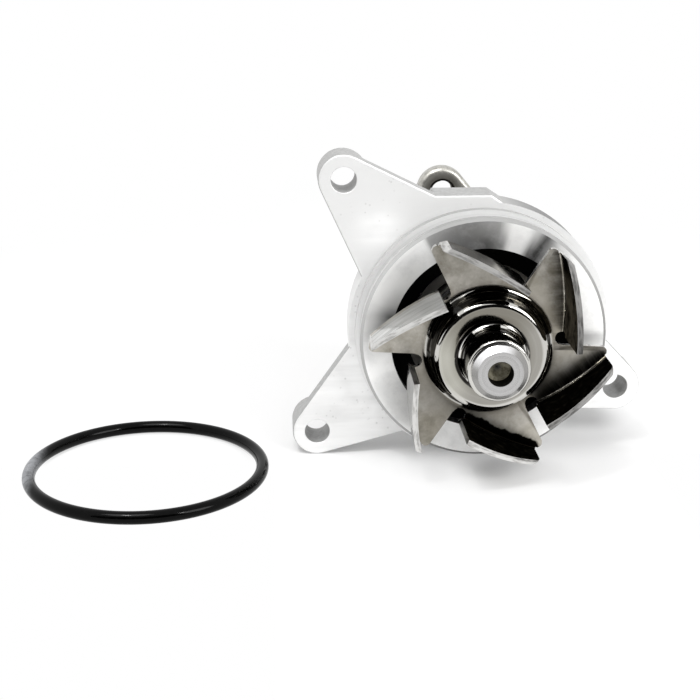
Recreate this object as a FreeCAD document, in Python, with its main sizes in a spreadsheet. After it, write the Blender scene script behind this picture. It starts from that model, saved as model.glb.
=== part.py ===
"""Engine coolant pump with a stamped open impeller, a unitised shaft seal, an integral
shaft bearing and a three-cornered pulley hub.

Frame: the shaft axis is the Y axis, +Z is up and +X is to the right when the impeller
faces the viewer, who looks along +Y. The origin lies on the shaft axis in the plane of
the mounting face, so the spigot and the impeller have negative Y, and the bearing
housing and the pulley hub have positive Y. Lengths are in millimetres.
"""
import FreeCAD, Part
import math
import os
import Sketcher
from FreeCAD import Vector

# ---------------------------------------------------------------------------------
# Dimensions: name, value in mm or degrees or a formula over the rows above, meaning
# ---------------------------------------------------------------------------------
DIMENSIONS = [
    # spigot and flange of the cast housing
    ("lip_radius", 34.0, "spigot that centres the pump in the engine bore"),
    ("lip_front", -9.5, "front plane of the spigot"),
    ("lip_chamfer", 0.8, "chamfer around the spigot"),
    ("land_inner_radius", "=lip_radius - 1.6", "inner edge of the flat land on the spigot"),
    ("dish_depth", 0.8, "how far the turned face falls away to the mouth"),
    ("mouth_radius", "=lip_radius - 8.5", "mouth of the cavity behind the impeller"),
    ("groove_radius", "=lip_radius - 2.8", "bottom of the ring groove"),
    ("groove_width", 4.0, "ring groove along the axis"),
    ("groove_front", "=lip_front + 3", "front wall of the ring groove"),
    ("groove_back", "=groove_front + groove_width", "back wall of the ring groove"),
    ("shoulder_radius", "=lip_radius + 0.9", "shoulder behind the ring groove"),
    ("rim_radius", "=lip_radius + 2.6", "round edge of the flange"),
    ("rim_depth", 11.0, "thickness of the round flange"),
    ("rim_rounding", 0.8, "rounding of the flange's back edge"),
    # shaft
    ("shaft_radius", 8.0, "shaft in the bearing, the seal and the pulley hub"),
    ("nose_radius", "=shaft_radius - 0.7", "stepped-down nose that carries the impeller"),
    ("nose_chamfer", 1.4, "chamfer on the front end"),
    ("pocket_radius", 3.3, "centre pocket in the front end"),
    ("pocket_depth", 4.8, "depth of the centre pocket"),
    ("tail_chamfer", 0.8, "chamfer on the back end"),
    # bearing
    ("roller_radius", 1.93, "bearing roller"),
    ("roller_play", 0.07, "gap between a roller and its raceways"),
    ("race_radius", "=shaft_radius + 2 * (roller_radius + roller_play)",
     "bore of the outer bearing ring"),
    ("pitch_radius", "=(shaft_radius + race_radius) / 2",
     "circle on which balls and rollers run"),
    ("bearing_radius", "=race_radius + 3", "outside of the bearing and bore of the housing"),
    ("chamber_end", 15.0, "back end of the weep chamber, where the bearing starts"),
    ("bearing_length", 31.0, "length of the outer bearing ring"),
    ("bearing_end", "=chamber_end + bearing_length", "back end of the bearing"),
    ("ball_radius", 2.8, "bearing ball"),
    ("race_clearance", 0.1, "gap between a ball and its raceways"),
    ("cage_clearance", 0.15, "gap between a ball or roller and its cage"),
    ("ball_count", "=floor(pi * pitch_radius / (ball_radius + cage_clearance + 0.5))",
     "balls in the front row"),
    ("ball_place", "=chamber_end + 7.5", "ball row behind the mounting face"),
    ("roller_length", 8.0, "bearing roller"),
    ("roller_count", "=floor(pi * pitch_radius / (roller_radius + cage_clearance + 0.6))",
     "rollers in the back row"),
    ("roller_place", "=bearing_end - 9", "middle of the roller row"),
    ("cage_wall", 1.5, "wall of both cages"),
    ("cage_rail", 1.0, "side rail of both cages beyond the balls or rollers"),
    ("lip_clearance", 0.12, "gap between a bearing seal and the shaft"),
    ("bearing_seal_width", 1.6, "width of each bearing seal"),
    ("bearing_seal_inset", 0.8, "bearing seals below the ends of the outer ring"),
    # inside and back of the housing
    ("seal_bore_radius", "=shaft_radius + 10.2", "bore for the seal case"),
    ("seal_bore_end", 8.0, "back end of the seal bore"),
    ("cavity_floor", -2.0, "floor of the cavity, where the seal flange sits"),
    ("cavity_floor_radius", "=seal_bore_radius + 2.6", "outer edge of the cavity floor"),
    ("cavity_wall_end", "=cavity_floor - 2.5", "where the cavity wall turns into a cone"),
    ("chamber_radius", "=bearing_radius + 0.8", "weep chamber between seal and bearing"),
    ("neck_radius", "=bearing_radius + 7", "outside of the bearing housing"),
    ("neck_chamfer", 1.2, "chamfer around the back of the bearing housing"),
    ("cone_radius", "=rim_radius - 4.6", "bearing housing where it meets the flange"),
    ("cone_end", 20.0, "back end of the cone that stiffens the housing"),
    ("cone_rounding", 4.0, "hollow rounding from the cone to the bearing housing"),
    ("weep_radius", 1.9, "weep hole below the weep chamber"),
    ("weep_place", "=chamber_end - 1.8", "distance of the weep hole behind the flange face"),
    # ears that take the bolts
    ("ear_radius", 7.0, "rounded end of each ear"),
    ("ear_depth", 11.4, "length of the boss in each ear"),
    ("ear_hole_radius", 3.55, "clearance hole for an M6 bolt"),
    ("ear_hole_chamfer", 0.15, "chamfer at both ends of each ear hole"),
    ("ear_rounding", 0.7, "rounding of the ears' cast edges"),
    ("web_depth", 4.4, "thickness of the web that carries each ear"),
    ("web_root_radius", "=rim_radius - 3.6", "where the webs run into the flange"),
    ("rib_width", 4.0, "ribs from the ears to the bearing housing"),
    ("rib_depth", 9.0, "how far the ribs stand behind the mounting face"),
    ("ear_a_turn", 131.46, "direction of the upper left ear, from +X towards +Z"),
    ("ear_a_reach", "=rim_radius + 20.65", "upper left ear from the axis"),
    ("ear_b_turn", 212.99, "direction of the lower left ear"),
    ("ear_b_reach", "=rim_radius + 17.76", "lower left ear from the axis"),
    ("ear_c_turn", 336.08, "direction of the right ear"),
    ("ear_c_reach", "=rim_radius + 7.05", "right ear from the axis"),
    ("pad_height", "=rim_radius + 1.8", "flat pad on top of the flange"),
    ("pad_left", -13.0, "left end of the pad, in the web of the upper left ear"),
    ("pad_right", 2.6, "right end of the pad's flat top"),
    ("pad_slope", 6.5, "width of the slope from the pad to the round rim"),
    # shaft seal, fixed half
    ("sheet_thickness", 0.6, "sheet of the seal case, the ferrules and the sleeve"),
    ("case_flange_radius", "=seal_bore_radius + 2", "flange of the seal case"),
    ("case_hole_radius", "=shaft_radius + 3.2", "hole in the bottom of the seal case"),
    ("bellows_radius", "=shaft_radius + 3.4", "inside of the rubber bellows"),
    ("bellows_wall", 1.0, "wall of the rubber bellows"),
    ("bellows_foot_radius", "=bellows_radius + 2", "foot of the bellows on the case bottom"),
    ("bellows_foot_depth", 2.0, "foot of the bellows"),
    ("carbon_inner_radius", "=shaft_radius + 3.8", "carbon ring"),
    ("carbon_radius", "=shaft_radius + 7.2", "carbon ring"),
    ("carbon_front", "=cavity_floor - 5.6", "sealing face of the carbon ring"),
    ("carbon_step", "=carbon_front + 1", "where the nose of the carbon ring starts"),
    ("carbon_back", "=carbon_front + 4.6", "back of the carbon ring"),
    ("carbon_nose_inner", "=carbon_inner_radius + 0.7", "inner edge of the sealing face"),
    ("carbon_nose_outer", "=carbon_radius - 1", "outer edge of the sealing face"),
    ("cup_wall", 1.2, "rubber around the carbon ring and around the ceramic ring"),
    ("spring_radius", "=carbon_radius - 0.2", "middle of the spring wire"),
    ("wire_radius", 0.75, "spring wire"),
    ("spring_turns", 3, "turns of the spring"),
    ("spring_seat_gap", 0.1, "play between the spring and each ferrule"),
    # shaft seal, turning half
    ("face_gap", 0.03, "film of coolant between the sealing faces"),
    ("ceramic_inner_radius", "=shaft_radius + 2.8", "ceramic ring"),
    ("ceramic_radius", "=shaft_radius + 8", "ceramic ring"),
    ("ceramic_depth", 4.0, "thickness of the ceramic ring"),
    ("boot_lap", 3.0, "how far the boot covers the side of the ceramic ring"),
    ("boot_floor", 0.8, "rubber behind the ceramic ring"),
    ("sleeve_wall", 0.7, "sleeve on the shaft"),
    ("sleeve_back", "=seal_bore_end - 3", "back end of the sleeve"),
    ("sleeve_flange_radius", "=ceramic_radius + 1.8", "flange of the sleeve"),
    ("nose_step", "=carbon_front - face_gap - ceramic_depth - boot_floor - 0.77",
     "step between shaft and nose"),
    ("slinger_radius", "=shaft_radius + 5.4", "slinger in the weep chamber"),
    ("slinger_place", "=chamber_end - 3.8", "front of the slinger"),
    ("slinger_depth", 1.5, "thickness of the slinger"),
    # impeller
    ("impeller_radius", 32.3, "outside of the impeller"),
    ("impeller_front", "=lip_front - 8.3", "front surface of the flat blades"),
    ("impeller_sheet", 1.5, "sheet of the impeller"),
    ("blade_count", 6, "blades of the impeller"),
    ("blade_turn", 64.2, "direction of the first vane's normal, from +X towards +Z"),
    ("cup_radius", "=nose_radius + 7.7", "shoulder of the drawn cup"),
    ("cup_foot_radius", "=cup_radius + 1.4", "foot of the drawn cup"),
    ("cup_height", 6.6, "height of the drawn cup above the blades"),
    ("cup_foot_bend", 2.0, "bend at the foot of the cup"),
    ("cup_shoulder_bend", 1.7, "bend at the shoulder of the cup"),
    ("collar_wall", 1.0, "wall of the drawn collar on the shaft"),
    ("collar_height", 18.3, "top of the collar above the blades"),
    ("collar_bend", 1.9, "bend at the foot of the collar"),
    ("collar_rounding", 0.7, "rounded top edge of the collar"),
    ("vane_offset", "=cup_foot_radius + 5.5", "ends of each vane's outer face from the axis"),
    ("vane_bow", 0.8, "how far the middle of each vane is bowed outwards"),
    ("core_radius", "=vane_offset - 2.1", "round middle of the impeller between the blades"),
    ("vane_inner_end", -2.1, "inner end of the vane, along the vane"),
    ("vane_inner_height", 16.9, "height of the vane's inner end above the blade"),
    ("vane_outer_height", 8.4, "height of the vane's outer corner above the blade"),
    ("vane_crown", 0.7, "how far the vane's top edge is bowed up"),
    ("bend_radius", 0.5, "inner radius of the bend between blade and vane"),
    ("tip_rounding", 2.2, "rounded outer corners of each blade and vane"),
    ("notch_radius", 1.8, "relief notch at the inner end of each bend"),
    ("notch_place", "=vane_offset - 2", "distance of the relief notch from the axis"),
    ("notch_turn", 4.0, "angle of the relief notch past the vane's normal"),
    ("free_root_turn", 58.3, "angle of the free edge's root past the vane's normal"),
    ("free_tip_turn", 55.4, "angle of the free edge's tip past the vane's normal"),
    ("shaft_front", "=impeller_front - collar_height - 2.5", "front end of the shaft"),
    # pulley hub
    ("hub_boss_radius", "=shaft_radius + 5", "boss pressed on the shaft"),
    ("hub_boss_front", "=bearing_end + 1.2", "front of the hub boss"),
    ("hub_plate_front", "=hub_boss_front + 1.6", "front of the three-cornered hub plate"),
    ("hub_plate_depth", 6.0, "thickness of the hub plate"),
    ("hub_corner_radius", 7.6, "rounded corner of the hub plate"),
    ("hub_bolt_radius", 30.0, "circle of the pulley bolts"),
    ("hub_bolt_turn", 99.5, "direction of the first pulley bolt"),
    ("hub_hole_radius", 3.4, "tapping hole for an M8 bolt"),
    ("hub_hole_chamfer", 0.6, "chamfer on each hole's pump side"),
    ("hub_pilot_radius", "=hub_boss_radius + 2", "round pilot that centres the pulley"),
    ("hub_pilot_back", "=hub_plate_front + hub_plate_depth + 3", "back of the pilot"),
    ("hub_boss_back", "=hub_pilot_back + 2.2", "back of the hub boss"),
    ("hub_rounding", 1.7, "rounding of the hub plate's edges"),
    ("shaft_back", "=hub_boss_back", "back end of the shaft"),
    # sealing ring, taken off and lying beside the pump
    ("ring_section", 1.75, "half the thickness of the rubber ring"),
    ("ring_radius", "=groove_radius + 0.8", "centre line of the rubber ring"),
    ("ring_x", "=ear_b_reach * cos(ear_b_turn) - ear_radius - ring_radius - ring_section - 6.95",
     "where the loose ring lies"),
    ("ring_y", -12.1, "where the loose ring lies"),
]


class Size:
    """A length that knows its value and the formula that reads it from the sheet."""

    def __init__(self, value, text):
        self.value = value
        self.text = text

    def join(self, other, sign, value):
        return Size(value, f"({self.text} {sign} {as_size(other).text})")

    def __add__(self, other):
        return self.join(other, "+", self.value + as_size(other).value)

    def __sub__(self, other):
        return self.join(other, "-", self.value - as_size(other).value)

    def __mul__(self, other):
        return self.join(other, "*", self.value * as_size(other).value)

    def __rmul__(self, other):
        return as_size(other) * self

    def __radd__(self, other):
        return as_size(other) + self

    def __rsub__(self, other):
        return as_size(other) - self

    def __neg__(self):
        return as_size(0) - self


def as_size(number):
    return number if isinstance(number, Size) else Size(float(number), f"{float(number):.9f}")


class Table:
    """The driving dimensions as attributes, such as table.lip_radius."""

    def __init__(self, sheet, rows):
        for row, (alias, value, meaning) in enumerate(rows, start=1):
            sheet.set(f"A{row}", meaning)
            sheet.set(f"B{row}", str(value))
            sheet.setAlias(f"B{row}", alias)
        doc.recompute()
        for alias, _, _ in rows:
            setattr(self, alias, Size(float(getattr(sheet, alias)), f"{sheet.Name}.{alias}"))


doc = FreeCAD.newDocument("coolant_pump")
sheet = doc.addObject("Spreadsheet::Sheet", "sizes")
table = Table(sheet, DIMENSIONS)

FULL_TURN = 360.0
AXIS = Vector(0, 1, 0)
ORIGIN = Vector(0, 0, 0)
NODES = []


# ---------------------------------------------------------------------------------
# Helpers
# ---------------------------------------------------------------------------------
def unit(degrees):
    """Direction in the XZ plane, counted from +X towards +Z."""
    return math.cos(math.radians(degrees)), math.sin(math.radians(degrees))


def bind(item, prop, size):
    """Tie a property of a document object to the sheet."""
    item.setExpression(prop, as_size(size).text)


def new_body(name):
    body = doc.addObject("PartDesign::Body", name)
    body.Label = name
    NODES.append(body)
    return body


def new_feature(name, shape):
    feature = doc.addObject("Part::Feature", name)
    feature.Label = name
    feature.Shape = shape
    NODES.append(feature)
    return feature


def new_sketch(body, name, role, along_y=None):
    """Sketch on one of the body's origin planes, moved along Y when asked."""
    plane = next(item for item in body.Origin.OriginFeatures if item.Role == role)
    sketch = body.newObject("Sketcher::SketchObject", name)
    sketch.AttachmentSupport = (plane, [""])
    sketch.MapMode = "FlatFace"
    if along_y is not None:
        bind(sketch, "AttachmentOffset.Base.z", -as_size(along_y))
    return sketch


def pin_point(sketch, geometry, position, place):
    """Hold one point of a sketch at a place that the sheet gives."""
    for kind, size in zip(("DistanceX", "DistanceY"), place):
        size = as_size(size)
        index = sketch.addConstraint(
            Sketcher.Constraint(kind, -1, 1, geometry, position, size.value))
        sketch.setExpression(f"Constraints[{index}]", size.text)


def add_loop(sketch, points):
    """Closed loop of straight lines through the points."""
    corners = [Vector(as_size(a).value, as_size(b).value, 0) for a, b in points]
    first = len(sketch.Geometry)
    count = len(corners)
    for index, corner in enumerate(corners):
        sketch.addGeometry(Part.LineSegment(corner, corners[(index + 1) % count]))
    for index, place in enumerate(points):
        following = first + (index + 1) % count
        sketch.addConstraint(
            Sketcher.Constraint("Coincident", first + index, 2, following, 1))
        pin_point(sketch, first + index, 1, place)


def add_circle(sketch, place, radius):
    """Full circle about a place."""
    centre = Vector(as_size(place[0]).value, as_size(place[1]).value, 0)
    geometry = sketch.addGeometry(Part.Circle(centre, Vector(0, 0, 1), radius.value))
    pin_point(sketch, geometry, 3, place)
    index = sketch.addConstraint(Sketcher.Constraint("Radius", geometry, radius.value))
    sketch.setExpression(f"Constraints[{index}]", radius.text)


def revolve(body, name, points):
    """Solid of revolution about Y from a loop of (radius, y) points."""
    sketch = new_sketch(body, name + "_profile", "XY_Plane")
    add_loop(sketch, points)
    turned = body.newObject("PartDesign::Revolution", name)
    turned.Profile = sketch
    turned.ReferenceAxis = (sketch, ["V_Axis"])
    turned.Angle = FULL_TURN
    return turned


def turned_part(name, points):
    """A whole node that is one turned or pressed ring."""
    body = new_body(name)
    revolve(body, name + "_turned", points)
    return body


def ring_groove(body, name, place, radius):
    """Groove of round section about Y."""
    sketch = new_sketch(body, name + "_section", "XY_Plane")
    add_circle(sketch, place, radius)
    groove = body.newObject("PartDesign::Groove", name)
    groove.Profile = sketch
    groove.ReferenceAxis = (sketch, ["V_Axis"])
    groove.Angle = FULL_TURN
    return groove


def pad(body, name, start, depth, draw):
    """Pad that runs towards +Y from the start plane; draw fills its sketch."""
    sketch = new_sketch(body, name + "_outline", "XZ_Plane", start)
    draw(sketch)
    added = body.newObject("PartDesign::Pad", name)
    added.Profile = sketch
    added.Reversed = True
    bind(added, "Length", depth)
    return added


def through_hole(body, name, places, radius, start=0):
    """Round holes right through the body, along Y."""
    sketch = new_sketch(body, name + "_outline", "XZ_Plane", start)
    for place in places:
        add_circle(sketch, place, radius)
    hole = body.newObject("PartDesign::Pocket", name)
    hole.Profile = sketch
    hole.Type = "ThroughAll"
    hole.Midplane = True
    return hole


def edge_names(feature, wanted):
    """Names of a feature's edges that the test accepts."""
    edges = enumerate(feature.Shape.Edges, start=1)
    return [f"Edge{number}" for number, edge in edges if wanted(edge)]


def tangent_point(centre, radius, outside, side):
    """Where a line from an outside point touches a circle; side is +1 or -1."""
    away = math.atan2(outside[1] - centre[1], outside[0] - centre[0])
    reach = math.hypot(outside[0] - centre[0], outside[1] - centre[1])
    angle = away + side * math.acos(radius / reach)
    return centre[0] + radius * math.cos(angle), centre[1] + radius * math.sin(angle)


def rounded_wire(points):
    """Closed wire in the XY plane through (radius, y, rounding) points."""
    corners = [Vector(a, b, 0) for a, b, _ in points]
    count = len(points)
    stops = []
    for index, (_, _, rounding) in enumerate(points):
        here = corners[index]
        before = (corners[index - 1] - here).normalize()
        after = (corners[(index + 1) % count] - here).normalize()
        if rounding == 0:
            stops.append((here, None, here))
            continue
        half = before.getAngle(after) / 2
        reach = rounding / math.tan(half)
        middle = (before + after).normalize()
        centre = here + middle * (rounding / math.sin(half))
        stops.append((here + before * reach, centre - middle * rounding, here + after * reach))
    edges = []
    for index, (start, top, end) in enumerate(stops):
        if top is not None:
            edges.append(Part.Arc(start, top, end).toShape())
        following = stops[(index + 1) % count][0]
        if (following - end).Length > 1e-6:
            edges.append(Part.LineSegment(end, following).toShape())
    return Part.Wire(edges)


def prism(points, start, depth):
    """Prism along Y from (x, z) corners."""
    corners = [Vector(a, start, b) for a, b in points]
    outline = Part.makePolygon(corners + corners[:1])
    return Part.Face(outline).extrude(AXIS * depth)


# ---------------------------------------------------------------------------------
# Cast housing
# ---------------------------------------------------------------------------------
def flange_root(direction):
    """Point just inside the round flange where one side of a web starts."""
    return tuple(table.web_root_radius.value * part for part in unit(direction))


def ear_centre(turn, reach):
    """Place of an ear's hole from its direction and its distance to the axis."""
    along = unit(turn.value)
    return reach * along[0], reach * along[1]


# centre of each ear and the points where its web's two sides leave the flange
PAD_CORNER = (table.pad_left.value, table.pad_height.value)
EARS = {
    "a": (ear_centre(table.ear_a_turn, table.ear_a_reach), flange_root(160), PAD_CORNER),
    "b": (ear_centre(table.ear_b_turn, table.ear_b_reach), flange_root(241), flange_root(179)),
    "c": (ear_centre(table.ear_c_turn, table.ear_c_reach), flange_root(0), flange_root(-47)),
}


def ear_web(sketch, ear):
    """Web whose two sides run from the flange tangent to the ear's round end."""
    place, first_root, second_root = EARS[ear]
    centre = (place[0].value, place[1].value)
    radius = table.ear_radius.value
    corners = [
        first_root,
        tangent_point(centre, radius, first_root, -1),
        tangent_point(centre, radius, second_root, 1),
        second_root,
    ]
    if second_root == PAD_CORNER:
        corners.append(flange_root(100))
    add_loop(sketch, corners)


def ear_rib(sketch, place):
    """Straight rib from the flange to the middle of an ear."""
    reach = math.hypot(place[0].value, place[1].value)
    along = (place[0].value / reach, place[1].value / reach)
    side = (-0.5 * table.rib_width * along[1], 0.5 * table.rib_width * along[0])
    root = (table.web_root_radius * along[0], table.web_root_radius * along[1])
    add_loop(sketch, [
        (root[0] + side[0], root[1] + side[1]),
        (place[0] + side[0], place[1] + side[1]),
        (place[0] - side[0], place[1] - side[1]),
        (root[0] - side[0], root[1] - side[1]),
    ])


def flat_at(edge, place):
    """Whether an edge lies in the plane at this distance behind the mounting face."""
    box = edge.BoundBox
    return abs(box.YMin - place) < 1e-5 and abs(box.YMax - place) < 1e-5


def has_radius(edge, size):
    return isinstance(edge.Curve, Part.Circle) and abs(edge.Curve.Radius - size.value) < 1e-5


def dress(body, kind, name, prop, size, wanted):
    """Fillet or chamfer on those edges of the body's last feature that pass the test."""
    doc.recompute()
    last = body.Tip
    dressed = body.newObject(f"PartDesign::{kind}", name)
    dressed.Base = (last, edge_names(last, wanted))
    bind(dressed, prop, size)
    return dressed


def round_housing(body):
    """Cast and machined edges of the finished housing."""
    t = table

    def ear_front(edge):
        straight = isinstance(edge.Curve, Part.Line)
        return flat_at(edge, 0) and (straight or has_radius(edge, t.ear_radius))

    def boss_back(edge):
        return flat_at(edge, t.ear_depth.value) and has_radius(edge, t.ear_radius)

    def rim_back(edge):
        return flat_at(edge, t.rim_depth.value) and has_radius(edge, t.rim_radius)

    def cone_back(edge):
        return flat_at(edge, t.cone_end.value) and has_radius(edge, t.neck_radius)

    def hole_end(edge):
        return has_radius(edge, t.ear_hole_radius)

    dress(body, "Fillet", "ear_front_rounding", "Radius", t.ear_rounding, ear_front)
    dress(body, "Fillet", "boss_rounding", "Radius", t.ear_rounding, boss_back)
    dress(body, "Fillet", "rim_back_rounding", "Radius", t.rim_rounding, rim_back)
    dress(body, "Fillet", "cone_hollow", "Radius", t.cone_rounding, cone_back)
    dress(body, "Chamfer", "ear_hole_chamfers", "Size", t.ear_hole_chamfer, hole_end)


def make_housing():
    body = new_body("housing")
    t = table
    revolve(body, "housing_turned", [
        (t.mouth_radius, t.lip_front + t.dish_depth),
        (t.land_inner_radius, t.lip_front),
        (t.lip_radius - t.lip_chamfer, t.lip_front),
        (t.lip_radius, t.lip_front + t.lip_chamfer),
        (t.lip_radius, t.groove_front),
        (t.groove_radius, t.groove_front),
        (t.groove_radius, t.groove_back),
        (t.shoulder_radius, t.groove_back),
        (t.shoulder_radius, 0),
        (t.rim_radius, 0),
        (t.rim_radius, t.rim_depth),
        (t.cone_radius, t.rim_depth),
        (t.neck_radius, t.cone_end),
        (t.neck_radius, t.bearing_end - t.neck_chamfer),
        (t.neck_radius - t.neck_chamfer, t.bearing_end),
        (t.bearing_radius, t.bearing_end),
        (t.bearing_radius, t.chamber_end),
        (t.chamber_radius, t.chamber_end),
        (t.chamber_radius, t.seal_bore_end),
        (t.seal_bore_radius, t.seal_bore_end),
        (t.seal_bore_radius, t.cavity_floor),
        (t.cavity_floor_radius, t.cavity_floor),
        (t.mouth_radius, t.cavity_wall_end),
    ])
    for ear, (place, _, _) in EARS.items():
        pad(body, f"ear_{ear}_web", 0, t.web_depth, lambda sketch: ear_web(sketch, ear))
        pad(body, f"ear_{ear}_boss", 0, t.ear_depth,
            lambda sketch: add_circle(sketch, place, t.ear_radius))
        pad(body, f"ear_{ear}_rib", 0, t.rib_depth, lambda sketch: ear_rib(sketch, place))
    pad(body, "top_pad", 0, t.rim_depth, lambda sketch: add_loop(sketch, [
        flange_root(125),
        (t.pad_left, t.pad_height),
        (t.pad_right, t.pad_height),
        (t.pad_right + t.pad_slope, t.web_root_radius + 1),
    ]))
    places = [place for place, _, _ in EARS.values()]
    through_hole(body, "ear_holes", places, t.ear_hole_radius)
    weep = new_sketch(body, "weep_hole_outline", "XY_Plane")
    add_circle(weep, (0, t.weep_place), t.weep_radius)
    hole = body.newObject("PartDesign::Pocket", "weep_hole")
    hole.Profile = weep
    bind(hole, "Length", t.rim_radius)
    round_housing(body)
    return body


# ---------------------------------------------------------------------------------
# Shaft and its integral bearing
# ---------------------------------------------------------------------------------
def make_shaft():
    t = table
    body = new_body("shaft")
    revolve(body, "shaft_turned", [
        (0, t.shaft_front + t.pocket_depth + 0.5 * t.pocket_radius),
        (t.pocket_radius, t.shaft_front + t.pocket_depth),
        (t.pocket_radius, t.shaft_front),
        (t.nose_radius - t.nose_chamfer, t.shaft_front),
        (t.nose_radius, t.shaft_front + t.nose_chamfer),
        (t.nose_radius, t.nose_step),
        (t.shaft_radius, t.nose_step),
        (t.shaft_radius, t.shaft_back - t.tail_chamfer),
        (t.shaft_radius - t.tail_chamfer, t.shaft_back),
        (0, t.shaft_back),
    ])
    ring_groove(body, "shaft_raceway", (t.pitch_radius, t.ball_place),
                t.ball_radius + t.race_clearance)
    return body


def make_bearing_ring():
    t = table
    body = turned_part("bearing_outer_ring", [
        (t.race_radius, t.chamber_end),
        (t.bearing_radius, t.chamber_end),
        (t.bearing_radius, t.bearing_end),
        (t.race_radius, t.bearing_end),
    ])
    ring_groove(body, "ring_raceway", (t.pitch_radius, t.ball_place),
                t.ball_radius + t.race_clearance)
    return body


def around_axis(shape, count):
    """Copies of a shape, evenly spaced about the Y axis."""
    copies = []
    for number in range(count):
        copy = shape.copy()
        copy.rotate(ORIGIN, AXIS, number * FULL_TURN / count)
        copies.append(copy)
    return copies


def pitch_point(place):
    return Vector(table.pitch_radius.value, place.value, 0)


def cage_ring(place, half_width):
    """Plain ring of a cage, centred on the pitch circle."""
    wall = table.cage_wall.value
    radius = table.pitch_radius.value
    start = Vector(0, place.value - half_width, 0)
    outer = Part.makeCylinder(radius + wall / 2, 2 * half_width, start, AXIS)
    return outer.cut(Part.makeCylinder(radius - wall / 2, 2 * half_width, start, AXIS))


def make_balls():
    ball = Part.makeSphere(table.ball_radius.value, pitch_point(table.ball_place))
    count = int(table.ball_count.value)
    new_feature("bearing_balls", Part.makeCompound(around_axis(ball, count)))
    pocket_radius = table.ball_radius.value + table.cage_clearance.value
    pocket = Part.makeCylinder(pocket_radius, 2 * table.pitch_radius.value,
                               AXIS * table.ball_place.value, Vector(1, 0, 0))
    ring = cage_ring(table.ball_place, pocket_radius + table.cage_rail.value)
    new_feature("ball_cage", ring.cut(Part.makeCompound(around_axis(pocket, count))))


def roller(radius, length):
    start = pitch_point(table.roller_place) - AXIS * (length / 2)
    return Part.makeCylinder(radius, length, start, AXIS)


def make_rollers():
    count = int(table.roller_count.value)
    radius = table.roller_radius.value
    length = table.roller_length.value
    play = table.cage_clearance.value
    one = roller(radius, length)
    new_feature("bearing_rollers", Part.makeCompound(around_axis(one, count)))
    pocket = roller(radius + play, length + 2 * play)
    ring = cage_ring(table.roller_place, length / 2 + play + table.cage_rail.value)
    new_feature("roller_cage", ring.cut(Part.makeCompound(around_axis(pocket, count))))


def make_bearing_seal(name, start):
    t = table
    turned_part(name, [
        (t.shaft_radius + t.lip_clearance, start),
        (t.race_radius, start),
        (t.race_radius, start + t.bearing_seal_width),
        (t.shaft_radius + t.lip_clearance, start + t.bearing_seal_width),
    ])


# ---------------------------------------------------------------------------------
# Shaft seal: fixed half in the housing, turning half on the shaft
# ---------------------------------------------------------------------------------
def make_fixed_seal():
    t = table
    sheet_wall = t.sheet_thickness
    case_bottom = t.seal_bore_end - sheet_wall
    turned_part("seal_case", [
        (t.seal_bore_radius - sheet_wall, t.cavity_floor - sheet_wall),
        (t.case_flange_radius, t.cavity_floor - sheet_wall),
        (t.case_flange_radius, t.cavity_floor),
        (t.seal_bore_radius, t.cavity_floor),
        (t.seal_bore_radius, t.seal_bore_end),
        (t.case_hole_radius, t.seal_bore_end),
        (t.case_hole_radius, case_bottom),
        (t.seal_bore_radius - sheet_wall, case_bottom),
    ])
    cup_radius = t.carbon_radius + t.cup_wall
    turned_part("seal_bellows", [
        (t.bellows_radius, t.carbon_back),
        (t.carbon_radius, t.carbon_back),
        (t.carbon_radius, t.carbon_step + t.cup_wall),
        (cup_radius, t.carbon_step + t.cup_wall),
        (cup_radius, t.carbon_back + t.bellows_wall),
        (t.bellows_radius + t.bellows_wall, t.carbon_back + t.bellows_wall),
        (t.bellows_radius + t.bellows_wall, case_bottom - t.bellows_foot_depth),
        (t.bellows_foot_radius, case_bottom - t.bellows_foot_depth),
        (t.bellows_foot_radius, case_bottom),
        (t.bellows_radius, case_bottom),
    ])
    ferrule_back = t.carbon_back + t.bellows_wall + sheet_wall
    turned_part("front_ferrule", [
        (cup_radius, t.carbon_step + t.cup_wall),
        (cup_radius + sheet_wall, t.carbon_step + t.cup_wall),
        (cup_radius + sheet_wall, ferrule_back),
        (t.bellows_foot_radius, ferrule_back),
        (t.bellows_foot_radius, ferrule_back - sheet_wall),
        (cup_radius, ferrule_back - sheet_wall),
    ])
    turned_part("back_ferrule", [
        (t.bellows_foot_radius, case_bottom - sheet_wall),
        (cup_radius + sheet_wall, case_bottom - sheet_wall),
        (cup_radius + sheet_wall, case_bottom),
        (t.bellows_foot_radius, case_bottom),
    ])
    turned_part("carbon_ring", [
        (t.carbon_inner_radius, t.carbon_step),
        (t.carbon_nose_inner, t.carbon_step),
        (t.carbon_nose_inner, t.carbon_front),
        (t.carbon_nose_outer, t.carbon_front),
        (t.carbon_nose_outer, t.carbon_step),
        (t.carbon_radius, t.carbon_step),
        (t.carbon_radius, t.carbon_back),
        (t.carbon_inner_radius, t.carbon_back),
    ])
    make_spring(ferrule_back.value, (case_bottom - sheet_wall).value)


def make_spring(front, back):
    """Coil spring between the two ferrules: tilted half turns that run into each other."""
    wire = table.wire_radius.value
    radius = table.spring_radius.value
    first = front + wire + table.spring_seat_gap.value
    last = back - wire - table.spring_seat_gap.value
    halves = 2 * int(table.spring_turns.value)
    rise = (last - first) / halves
    pieces = []
    for number in range(halves):
        side = 1 if number % 2 == 0 else -1
        start = Vector(side * radius, first + number * rise, 0)
        end = Vector(-side * radius, first + (number + 1) * rise, 0)
        tilted_axis = (end - start).cross(Vector(0, 0, side))
        section = Part.Face(Part.Wire(Part.makeCircle(wire, start, Vector(0, 0, 1))))
        pieces.append(section.revolve((start + end) * 0.5, tilted_axis, FULL_TURN / 2))
    new_feature("seal_spring", pieces[0].multiFuse(pieces[1:]))


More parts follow.
